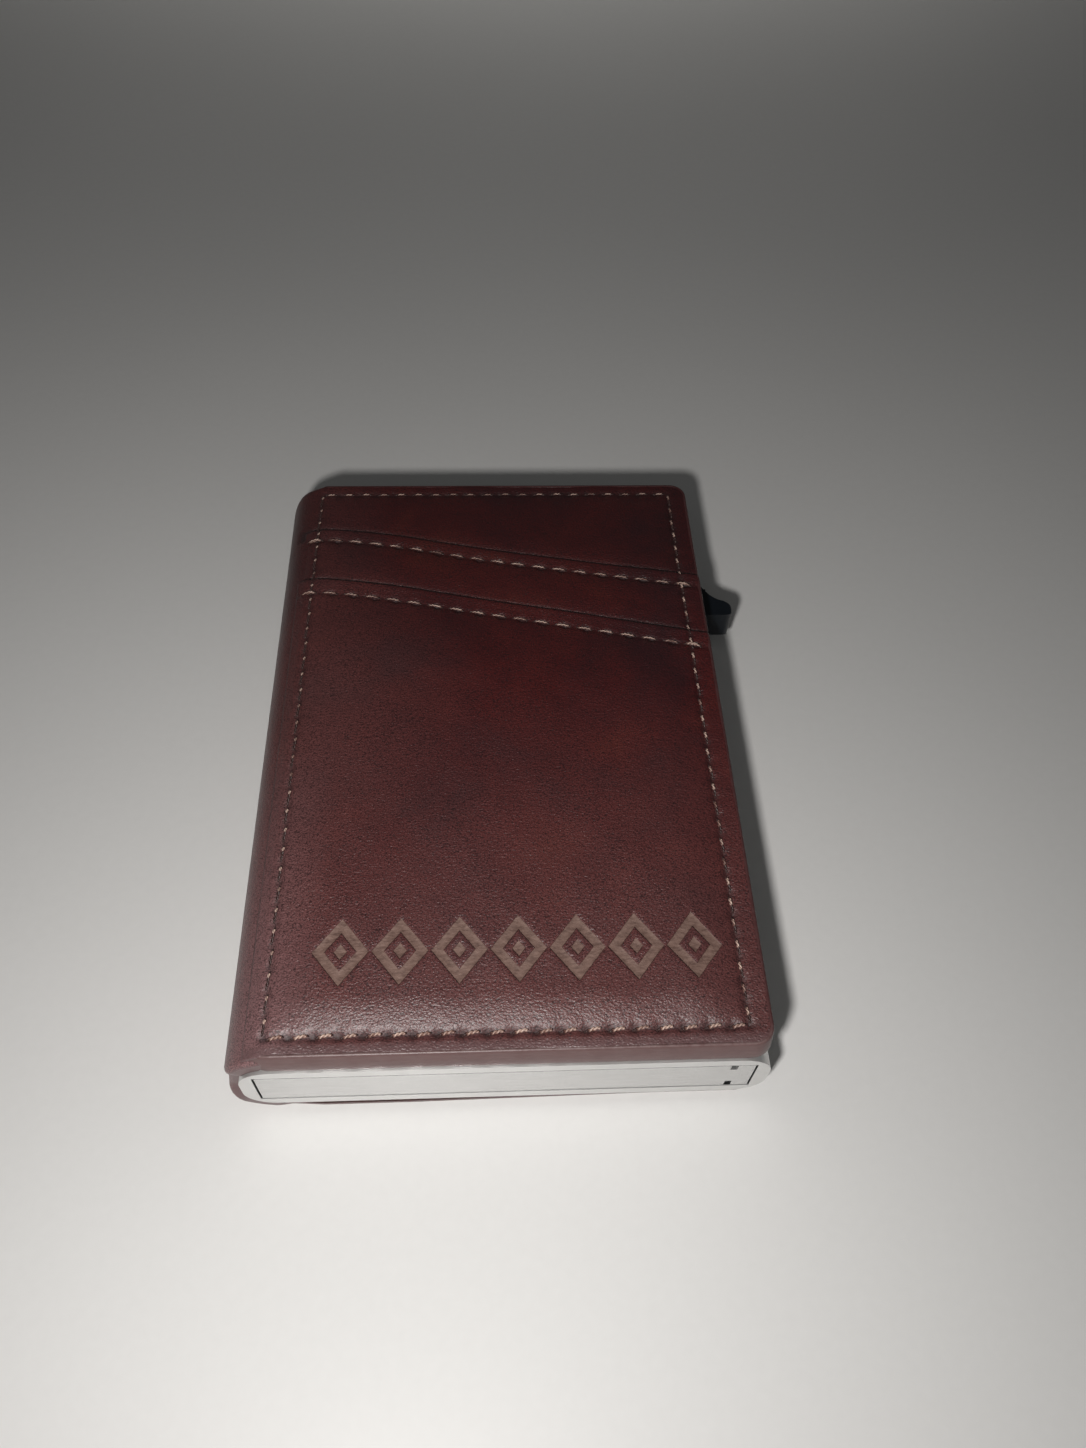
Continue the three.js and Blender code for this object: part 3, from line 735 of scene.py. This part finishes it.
def skin(name, path, normal, rows, relief):
    """A leather skin: a path in the XZ plane with its outward normals, drawn out along Y."""
    near, far = plan_limits(path[:, 0])
    near = near - back_peep(path[:, 0], normal)
    y = near[None, :] + rows[:, None] * (far - near)[None, :]
    x = np.broadcast_to(path[:, 0], y.shape)
    to_edge = np.minimum.reduce([y - near, far - y, RIGHT - x])
    lift, groove = relief(x, y)
    flatness = np.abs(normal[:, 1]) ** 2
    lined = np.clip((FOLD_X - path[:, 0]) / 1.5, 0, 1)
    outward = lift * flatness - rim_drop(to_edge, SKIN_RIM + FOLD_RIM * lined[None, :])
    outward = outward + near_bulge(path[:, 1], y - near) * lined
    thickness = SKIN + (FOLD_SKIN[0] + FOLD_SKIN[1] * np.abs(normal[:, 1]) - SKIN) * lined

    def offset(amount):
        across = path[:, 0] + normal[:, 0] * amount
        up = path[:, 1] + normal[:, 1] * amount
        return np.stack([np.broadcast_to(across, y.shape), y, np.broadcast_to(up, y.shape)], -1)

    points, faces, border = closed_sheet(offset(outward), offset(-thickness))
    rim = painted_rim(path, normal, to_edge, border)
    groove = np.concatenate([groove.ravel(), np.zeros(len(border))])
    piece = new_object(name, points, faces, LEATHER, rim=rim, groove=groove)
    line_inside(piece, len(points) - len(border))
    return piece


def painted_rim(path, normal, to_edge, border):
    """How far each point is painted as a cut edge. Under the case the leather's rim is hardly painted."""
    painted = np.where((path[:, 0] > FOLD_X) & (normal[:, 1] < 0), 0.15, 1.0)
    rim = np.clip(1 - to_edge / 0.22, 0, 1) * painted
    return np.concatenate([rim.ravel(), [painted[i] for j, i in border]])


def line_inside(piece, first_inner):
    """Gives the lining material to the faces that lie wholly on the inner side."""
    piece.data.materials.append(LINING)
    for face in piece.data.polygons:
        if min(face.vertices) >= first_inner:
            face.material_index = 1


def fold_arc(centre_z, start, end, count):
    angle = np.linspace(start, end, count + 1)
    normal = np.stack([np.cos(angle), np.sin(angle)], -1)
    return np.array([FOLD_X, centre_z]) + FOLD * normal, normal


def flat_stations():
    x = edged(FOLD_X, RIGHT, SKIN_CELL)
    return x[x > FOLD_X + 0.5]


def front_path():
    """From the middle of the spine, over the upper fold, to the free edge."""
    spine_z = steps(SPINE_MIDDLE, TOP_FOLD_Z, 0.7)[:-1]
    spine = np.stack([np.full_like(spine_z, SPINE_LOW[0]), spine_z], -1)
    arc, arc_normal = fold_arc(TOP_FOLD_Z, math.pi, math.pi / 2, 16)
    flat_x = flat_stations()
    flat = np.stack([flat_x, np.full_like(flat_x, COVER_HIGH[2])], -1)
    sideways = np.tile([-1.0, 0.0], (len(spine), 1))
    upwards = np.tile([0.0, 1.0], (len(flat), 1))
    return np.concatenate([spine, arc, flat]), np.concatenate([sideways, arc_normal, upwards])


def back_path():
    """From the free edge of the back, round the lower fold, to the middle of the spine."""
    flat_x = flat_stations()[::-1]
    flat = np.stack([flat_x, np.zeros_like(flat_x)], -1)
    arc, arc_normal = fold_arc(LOW_FOLD_Z, -math.pi / 2, -math.pi, 16)
    spine_z = steps(LOW_FOLD_Z, SPINE_MIDDLE, 0.7)[1:]
    spine = np.stack([np.full_like(spine_z, SPINE_LOW[0]), spine_z], -1)
    downwards = np.tile([0.0, -1.0], (len(flat), 1))
    sideways = np.tile([-1.0, 0.0], (len(spine), 1))
    return np.concatenate([flat, arc, spine]), np.concatenate([downwards, arc_normal, sideways])


def end_rows(length, size):
    """Stations from 0 to 1 along the cover, close together in the rounded rims."""
    return edged(0, length, size) / length


# The gap at a mouth: how far beyond it the gap starts to fade, over what width, and how far it runs under
GAP_START, GAP_WIDTH, GAP_UNDER = 0.15, 0.4, 1.5
GAP_DIP, GAP_SHADE = 0.2, 1.2  # how far the layer below sinks there, and how much painted shade darkens it


def mouth_shadow(over_mouth):
    """The gap at a pocket's mouth and just beyond it, where the layer below dips and is darkened with painted
    shade.
    """
    beyond = np.maximum(over_mouth - GAP_START, 0)
    return np.exp(-((beyond / GAP_WIDTH) ** 2)) * (over_mouth > -GAP_UNDER)


def front_relief(x, y):
    """The far strip, above the upper pocket: stitched at its border and slightly padded."""
    inside, dip = round_dip(x, y)
    over_mouth = y - mouth_line(UPPER_MOUTH, x)
    depth = np.minimum(np.maximum(inside, 0), np.maximum(over_mouth, 0))
    beside_pocket = np.clip((x - UPPER_LOW[0] + 1.4) / 1.2, 0, 1)
    gap = mouth_shadow(over_mouth) * beside_pocket
    raised = swell(depth, 0.3, 4.0) + undulation(x, y) * 0.6 - GAP_DIP * gap
    # The second value is painted shade for the seam's groove and the gap at the upper pocket's mouth.
    return raised - dip, np.clip(dip / 0.42 + GAP_SHADE * gap, 0, 1)


def back_relief(x, y):
    """The back cover is flat where it rests, with its seam sunk in a groove."""
    sides = np.stack([x - BACK_SEAM_LEFT, BACK_SEAM_RIGHT - x, y - BACK_SEAM_NEAR, BACK_SEAM_FAR - y])
    distance = np.abs(sides.min(0))
    along = np.where(sides.argmin(0) >= 2, x - BACK_SEAM_LEFT, y - BACK_SEAM_NEAR)
    dip = seam_dip(distance, along, SIDE_PITCH, depth=0.3, pit=0.2)
    # The second value is painted shade for the seam's groove.
    return -dip, np.clip(dip / 0.5, 0, 1)


def bend_front(piece):
    """Bakes a front piece's place into its mesh."""
    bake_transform(piece)


def bend_back(piece):
    """Bakes a back piece's place into its mesh."""
    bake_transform(piece)


def make_skins():
    rows = end_rows(FAR - NEAR, SKIN_CELL)
    front = skin("front_leather", *front_path(), rows, front_relief)
    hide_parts("cover_leather")
    bend_front(front)
    back = skin("back_leather_skin", *back_path(), rows, back_relief)
    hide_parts("back_leather", "spine_leather", "spine_lining")
    bend_back(back)


# ---- Outer pockets ----

POCKET_GAP = 0.12  # from a pocket's rim to the cover's outline
POCKET_CELL = 0.3  # size of a pocket's mesh cells
POCKET_RIM = 0.28  # radius of a pocket's rounded rim
POCKET_SUNK = 0.3  # how deep a pocket's underside lies in the layer below
MOUTH_LIP, LIP_MIDDLE, LIP_WIDTH = 0.16, 0.5, 0.9  # the roll along a mouth: its height, place and width
MARGIN_SHEEN, MARGIN_START, MARGIN_FADE = 0.7, 0.6, 0.8  # how strong the painted sheen on the margin outside the near seam is, and where it begins


def wrap(x, top):
    """Height of a layer whose flat face is at top, as it follows the upper fold."""
    radius = top - TOP_FOLD_Z
    return TOP_FOLD_Z + np.sqrt(np.maximum(radius**2 - np.minimum(x - FOLD_X, 0) ** 2, 0))


def skive(from_left):
    """A pocket is pared thin where it ends on the fold."""
    return 0.6 * np.exp(-((np.maximum(from_left, 0) / 1.5) ** 2))


def pocket_grid(mouth, left):
    """The places of a pocket layer, and how far each is from its outer rim and from its mouth."""
    right = RIGHT - POCKET_GAP
    line = edged(left, right, POCKET_CELL, 0.4)
    rows = end_rows(mouth_line(mouth, 0.0) - NEAR, POCKET_CELL)
    near_line = NEAR + POCKET_GAP + inset(right - line, CORNER)
    mouth_y = mouth_line(mouth, line)
    y = near_line[None, :] + rows[:, None] * (mouth_y - near_line)[None, :]
    x = np.broadcast_to(line, y.shape)
    slope = np.gradient(mouth_y, line)
    from_mouth = (mouth_y[None, :] - y) / np.sqrt(1 + slope**2)[None, :]
    to_rim = np.minimum(y - near_line[None, :], right - x)
    return x, y, to_rim, from_mouth


def pocket_dip(x, y, to_seam):
    """How far inside the cover's seam a point lies, and how far that seam and the mouth's pull it in."""
    inside, dip = round_dip(x, y)
    mouth_dip = seam_dip(np.abs(to_seam), x - SEAM_LEFT, MOUTH_PITCH, depth=0.14, pit=0.22)
    return inside, np.maximum(dip, mouth_dip * (x > SEAM_LEFT - MOUTH_PITCH))


def pocket(name, node, mouth, drop, low, high, floor, relief):
    """A pocket layer: it follows the fold on its left, and its far edge is the slanted mouth.

    Its rims are painted, and its margin outside the near seam gets almost their colour as a painted sheen.
    """
    x, y, to_rim, from_mouth = pocket_grid(mouth, low[0])
    from_left = x - low[0]
    to_seam = from_mouth - drop
    inside, dip = pocket_dip(x, y, to_seam)
    to_edge = np.minimum.reduce([to_rim, from_mouth, from_left])
    lip = MOUTH_LIP * np.exp(-(((from_mouth - LIP_MIDDLE) / LIP_WIDTH) ** 2))
    lift = relief(x, y, inside, to_seam) + undulation(x, y) - dip
    lift = lift + lip - rim_drop(to_edge, POCKET_RIM) - skive(from_left)
    outer = np.stack([x, y, wrap(x, high[2]) + lift], -1)
    inner = np.stack([x, y, wrap(x, floor)], -1)
    points, faces, border = closed_sheet(outer, inner)
    # A painted sheen on the margin outside the near seam, carried by the rim attribute.
    margin = MARGIN_SHEEN * np.clip((SEAM_NEAR - MARGIN_START - y) / MARGIN_FADE, 0, 1)
    rim = np.maximum(np.clip(1 - to_rim / 0.2, 0, 1), margin)
    rim = np.concatenate([rim.ravel(), np.zeros(len(border))])
    # Painted shade along the mouth and the pared left edge, in the seam grooves, and in the gap at the mouth
    # of the pocket that covers this one.
    edge_shade = np.clip(1.5 - np.minimum(from_mouth, from_left + 0.05) / 0.2, 0, 1)
    under_mouth = GAP_SHADE * mouth_shadow(beyond_cover_mouth(node, x, y))
    shade = np.clip(np.maximum(dip / 0.45 - 0.1, edge_shade) + under_mouth, 0, 1)
    groove = np.concatenate([shade.ravel(), np.ones(len(border))])
    piece = new_object(name, points, faces, LEATHER, rim=rim, groove=groove)
    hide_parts(node)
    bend_front(piece)
    return piece


def beyond_cover_mouth(node, x, y):
    """How far a point of a pocket lies beyond the mouth of the pocket that covers it."""
    if node == "upper_pocket":
        return y - mouth_line(LOWER_MOUTH, x)
    return np.full_like(y, -10.0)


def upper_pocket_relief(x, y, inside, to_seam):
    """Only the strip between the two mouths is seen: it is slightly padded, with a gap at the lower mouth."""
    over_lower = y - mouth_line(LOWER_MOUTH, x)
    depth = np.minimum.reduce([inside, to_seam, over_lower])
    return swell(np.maximum(depth, 0), 0.25, 3.5) - GAP_DIP * mouth_shadow(over_lower)


def lower_pocket_relief(x, y, inside, to_seam):
    """The big panel is padded, and the row of lozenges is burnt into it."""
    padding = panel_swell(x, y, np.maximum(to_seam, 0)) * (inside > 0) * (to_seam > 0)
    return padding - MOTIF_DEPTH * motif_mask(x, y)


def make_pockets():
    upper_floor = COVER_HIGH[2] - POCKET_SUNK
    lower_floor = UPPER_HIGH[2] - POCKET_SUNK
    pocket(
        "upper_pocket_panel", "upper_pocket", UPPER_MOUTH, UPPER_DROP,
        UPPER_LOW, UPPER_HIGH, upper_floor, upper_pocket_relief,
    )
    panel = pocket(
        "lower_pocket_panel", "lower_pocket", LOWER_MOUTH, LOWER_DROP,
        LOWER_LOW, LOWER_HIGH, lower_floor, lower_pocket_relief,
    )


# ---- Painted edge ----

EDGE_LEAN = 0.55  # how far the painted edge leans out at its foot, on the near side
EDGE_FOOT = CASE_HIGH[2] + 0.1
EDGE_PAST_FOLD = 2.7  # how far the painted edge runs on over the fold
EDGE_TAPER, EDGE_SINK = 3.0, 0.9  # length over which it tapers off there, and how far its end sinks in

# The section, from the top face over the arris to the foot. Each point says how far out it lies, how far
# down it is as a share of the edge's height, and how much it is raised.
EDGE_SECTION = (
    (-0.62, 0.0, -0.35),
    (-0.42, 0.0, -0.02),
    (-0.26, 0.0, 0.05),
    (-0.1, 0.0, 0.03),
    (0.02, 0.0, -0.10),
    (0.08, 0.04, -0.30),
    (0.12, 0.3, 0.0),
    (0.14, 0.6, 0.0),
    (0.12, 0.85, 0.0),
    (0.02, 0.97, 0.0),
    (-0.2, 1.0, 0.0),
    (-0.62, 1.0, 0.0),
)
EDGE_HIGHLIGHT = (0.0, 0.6, 1.0, 0.8)  # how much painted highlight the section's first points get


def layer_top(x, y):
    """Height of the topmost flat layer at a point."""
    lower = np.clip((mouth_line(LOWER_MOUTH, x) - y) / 0.8 + 0.5, 0, 1)
    upper = np.clip((mouth_line(UPPER_MOUTH, x) - y) / 0.8 + 0.5, 0, 1)
    top = COVER_HIGH[2] + (UPPER_HIGH[2] - COVER_HIGH[2]) * upper
    return top + (LOWER_HIGH[2] - UPPER_HIGH[2]) * lower


def corner_stations(centre_y, turn):
    """Places and outward directions round one of the cover's free corners."""
    centre_x = RIGHT - CORNER
    return [
        (centre_x + CORNER * math.cos(a), centre_y + CORNER * math.sin(a), math.cos(a), math.sin(a))
        for a in turn
    ]


def outline_path():
    """The cover's free outline, from the near fold round the right side to the far fold, and its outwards."""
    straight = steps(FOLD_X - EDGE_PAST_FOLD, RIGHT - CORNER, 0.5)
    side = steps(NEAR + CORNER, FAR - CORNER, 0.5)
    turn = np.linspace(-math.pi / 2, 0, 10)[1:-1]
    stations = [(x, NEAR, 0, -1) for x in straight]
    stations += corner_stations(NEAR + CORNER, turn)
    stations += [(RIGHT, y, 1, 0) for y in side]
    stations += corner_stations(FAR - CORNER, turn + math.pi / 2)
    stations += [(x, FAR, 0, 1) for x in straight[::-1]]
    stations = np.array(stations, float)
    return stations[:, :2], stations[:, 2:]


def edge_rings(places, outwards):
    """The painted edge's section at every place. It tapers off where it ends on the fold."""
    full = np.clip((places[:, 0] - FOLD_X + EDGE_PAST_FOLD) / EDGE_TAPER, 0, 1)
    full = full * full * (3 - 2 * full)
    top = wrap(places[:, 0], layer_top(places[:, 0], places[:, 1])) - EDGE_SINK * (1 - full)
    foot = wrap(places[:, 0], np.full(len(places), EDGE_FOOT))
    lean = EDGE_LEAN * np.where(outwards[:, 1] < 0, -outwards[:, 1], 0.5 * outwards[:, 0])
    wobble = 0.03 * np.sin(places.sum(1) * 1.3) + 0.02 * np.sin(places.sum(1) * 2.9)
    rings = []
    for out, down, raised in EDGE_SECTION:
        z = top + (foot - top) * down + raised
        reach = out + lean * down * full + wobble * (0.1 < down < 0.9) - 0.3 * (1 - full)
        rings.append(np.column_stack([places + outwards * reach[:, None], z]))
    return np.stack(rings, 1)


def make_painted_edge():
    """The edges of all the layers are cut flush and sealed with one band of paint."""
    places, outwards = outline_path()
    size = len(EDGE_SECTION)
    points = edge_rings(places, outwards)
    faces = tube_faces(len(places), size)
    arris = np.array(EDGE_HIGHLIGHT + (0.0,) * (size - len(EDGE_HIGHLIGHT)))
    # The arris gets a painted highlight, strongest on the near side, and the sides facing right or far get
    # painted shade.
    facing = np.clip(0.1 - 0.75 * outwards[:, 1], 0, 1)
    pale = np.repeat(np.clip(0.1 - outwards[:, 1], 0, 1), size)
    arris_highlight = np.outer(facing, arris)
    piece = new_object("painted_edge", points, faces, EDGE_PAINT, smooth=60, arris=arris_highlight, pale=pale)
    bend_front(piece)


# ---- Stitches ----

PLIES = 2
STRAND = 0.15  # radius of one ply
TWIST_RADIUS = 0.12  # from the thread's middle to a ply's
TWIST_PER_MM = 0.85  # turns
BURIED = 0.24  # how deep a stitch's ends lie
SWAY = 0.05  # how far the stitches stray from their line
RINGS = 22
SIDES = 8
AROUND = 2 * math.pi * np.arange(SIDES) / SIDES
PLY_FACES = [face[::-1] for face in tube_faces(RINGS, SIDES)]


def ply_points(line, turn, side, up, girth):
    """Points of one ply that winds round a line, and how near each is to the top of the thread, which sets
    its painted highlight.
    """
    swing = TWIST_RADIUS * girth
    centre = line + np.outer(np.cos(turn) * swing, side) + np.outer(np.sin(turn) * swing, up)
    ring = np.outer(np.cos(AROUND), side) + np.outer(np.sin(AROUND), up)
    tube = centre[:, None, :] + ring[None, :, :] * (STRAND * girth)[:, None, None]
    height = np.sin(turn)[:, None] * 0.4 + np.sin(AROUND)[None, :] * 0.6
    return tube.reshape(-1, 3), np.clip(height * 0.8 + 0.4, 0, 1)


def stitch(start, end, up, rise, peak=0.5, size=1.0, shown=0.8):
    """One stitch of twisted thread that arches from hole to hole.

    Peak is where along it the arch is highest; the last argument is the share lit with a painted highlight,
    and the ends are painted dark as shade where they sink in.
    """
    start, end, up = (np.asarray(v, float) for v in (start, end, up))
    length = np.linalg.norm(end - start)
    ahead = (end - start) / length
    side = np.cross(ahead, up)
    t = np.linspace(0, 1, RINGS)
    swell_up = np.sin(math.pi * t ** (math.log(0.5) / math.log(peak)))
    arch = rise * swell_up**0.7 - BURIED
    line = start + np.outer(t * length, ahead) + np.outer(arch, up)
    taper = np.clip(np.minimum(t, 1 - t) * 6 + 0.4, 0, 1)
    # Only the middle share keeps the painted highlight; the ends get painted shade.
    hidden = math.cos(math.pi / 2 * shown)
    clear = np.clip((swell_up - hidden) / (1 - hidden) * 2, 0, 1)
    verts, faces, crest = [], [], []
    for ply in range(PLIES):
        turn = 2 * math.pi * (TWIST_PER_MM * length * t + ply / PLIES)
        points, height = ply_points(line, turn, side, up, size * taper)
        faces.extend(tuple(k + len(verts) for k in face) for face in PLY_FACES)
        verts.extend(points)
        crest.extend((height * clear[:, None]).ravel())
    return verts, faces, crest


def seam_piece(name, runs, up, node, bend, **shape):
    """All the stitches of a seam as one piece. runs holds (start, end) pairs."""
    verts, faces, crest = [], [], []
    for start, end in runs:
        v, f, c = stitch(start, end, up, **shape)
        faces.extend(tuple(k + len(verts) for k in face) for face in f)
        verts.extend(v)
        crest.extend(c)
    piece = new_object(name, verts, faces, STITCH, smooth=70, crest=crest)
    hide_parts(node)
    bend(piece)


def top_height(x, y):
    """Height of the front's topmost layer at a point, along the fold too."""
    return float(wrap(np.array(x), layer_top(np.array(x), np.array(y))))


def runs_between(start, end, pitch, gap, slant, height):
    """Stitches along a straight seam. Gap is what each leaves to its holes, slant how far it is turned."""
    start, end = np.array(start, float), np.array(end, float)
    length = np.linalg.norm(end - start)
    count = int(round(length / pitch))
    pitch = length / count
    ahead = (end - start) / length
    aside = np.array([-ahead[1], ahead[0]])
    runs = []
    for k in range(count):
        sway = SWAY * math.sin(2.3 * k + 0.7)
        a = start + ahead * (k * pitch + gap) - aside * (slant + sway)
        b = start + ahead * ((k + 1) * pitch - gap) + aside * (slant - sway)
        runs.append((np.array([*a, height(*a)]), np.array([*b, height(*b)])))
    return runs


def seam_corners(left, right, near, far):
    return [(left, near), (right, near), (right, far), (left, far)]


def make_cover_stitches():
    corners = seam_corners(SEAM_LEFT, SEAM_RIGHT, SEAM_NEAR, SEAM_FAR)
    near = runs_between(corners[0], corners[1], SIDE_PITCH, 0.35, 0.24, top_height)
    far = runs_between(corners[3], corners[2], SIDE_PITCH, 0.35, 0.06, top_height)
    right = runs_between(corners[1], corners[2], SIDE_PITCH, 0.3, 0.14, top_height)
    left = runs_between(corners[0], corners[3], SIDE_PITCH, 0.3, -0.14, top_height)
    seams = (
        ("cover_near_stitches", near, {"rise": 0.34, "peak": 0.6, "size": 0.95, "shown": 0.85}),
        ("cover_far_stitches", far, {"rise": 0.25, "size": 0.56, "shown": 0.55}),
        ("cover_right_stitches", right, {"rise": 0.32, "peak": 0.65, "size": 0.75, "shown": 0.6}),
        ("cover_left_stitches", left, {"rise": 0.3, "peak": 0.72, "size": 0.7, "shown": 0.4}),
    )
    for name, runs, shape in seams:
        seam_piece(name, runs, (0, 0, 1), "cover_thread", bend_front, **shape)


LOCK_LENGTH = 2.4


def lock_stitches(place, at):
    """Two stitches that cross over the end of a seam, the second above the first."""
    runs = []
    for raised, aside in ((0.12, 0.2), (0.2, -0.18)):
        start = place(at + aside) + np.array([0, aside, raised])
        end = place(at + LOCK_LENGTH + aside) + np.array([0, -aside, raised])
        runs.append((start, end))
    return runs


def make_mouth_stitches(name, mouth, drop, node, top):
    """The seam along a pocket's mouth. It runs past the seam round the cover, and is locked at both ends."""

    def place(x):
        slope = (mouth_line(mouth, x + 0.1) - mouth_line(mouth, x - 0.1)) / 0.2
        y = mouth_line(mouth, x) - drop * math.sqrt(1 + slope**2)
        return np.array([x, y, wrap(x, top) - skive(x - UPPER_LOW[0])])

    x = np.arange(SEAM_LEFT - MOUTH_PITCH * 0.6, SEAM_RIGHT + 2.4, MOUTH_PITCH)
    runs = [(place(a + 0.25), place(b - 0.25)) for a, b in zip(x, x[1:])]
    for at in (x[0] + 0.3, x[-2] + 0.4):
        runs += lock_stitches(place, at)
    seam_piece(name, runs, (0, 0, 1), node, bend_front, rise=0.34, size=0.62, shown=0.78)


def ride_case(piece):
    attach(piece, "case")


def back_height(x, y):
    """The back seam starts just below the inner face of its CAD bar."""
    return BACK_THREAD_HIGH[2] - 0.05


def make_back_stitches():
    corners = seam_corners(BACK_SEAM_LEFT, BACK_SEAM_RIGHT, BACK_SEAM_NEAR, BACK_SEAM_FAR)
    runs = []
    for a, b in zip(corners, corners[1:] + corners[:1]):
        runs += runs_between(a, b, SIDE_PITCH, 0.35, 0.08, back_height)
    seam_piece("back_stitches", runs, (0, 0, -1), "back_thread", ride_case, rise=0.2)


# ---- Case and lever ----

BEVELS = (("case_tube", 0.22, 3), ("end_plate", 0.17, 1), ("thumb_lever", 0.15, 3))  # width, segments


def finish_case():
    """The case, its plate and the lever keep their CAD shapes, with their edges broken by a fine bevel."""
    for node, width, segments in BEVELS:
        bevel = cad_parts[node].modifiers.new("edge", "BEVEL")
        bevel.width = width * MM
        bevel.segments = segments
        bevel.limit_method = "ANGLE"
        bevel.angle_limit = math.radians(35)
        bevel.harden_normals = True


# ---- Carried-over pieces ----


def give_material(node, material):
    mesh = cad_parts[node].data
    mesh.materials.clear()
    mesh.materials.append(material)
    mesh.shade_smooth()
    mesh.set_sharp_from_angle(angle=math.radians(30))


def dress_nodes():
    finishes = {
        "case_tube": ALUMINIUM,
        "end_plate": PLATE,
        "lower_felt_strip": FELT,
        "upper_felt_strip": FELT,
        "stair_pusher": SLIDER,
        "slide_rail": SLIDER,
        "thumb_lever": LEVER,
        "back_board": BOARD,
        "back_lining": LINING,
        "mounting_tape": TAPE,
        "inner_pocket": INNER_POCKET,
        "cover_lining": LINING,
        "cover_foam": FOAM,
    }
    for node, material in finishes.items():
        give_material(node, material)


make_camera()
make_floor()
make_lights()
dress_nodes()
finish_case()
make_skins()
make_pockets()
make_painted_edge()
make_cover_stitches()
make_mouth_stitches("upper_mouth_stitches", UPPER_MOUTH, UPPER_DROP, "upper_pocket_thread", UPPER_HIGH[2])
make_mouth_stitches("lower_mouth_stitches", LOWER_MOUTH, LOWER_DROP, "lower_pocket_thread", LOWER_HIGH[2])
make_back_stitches()
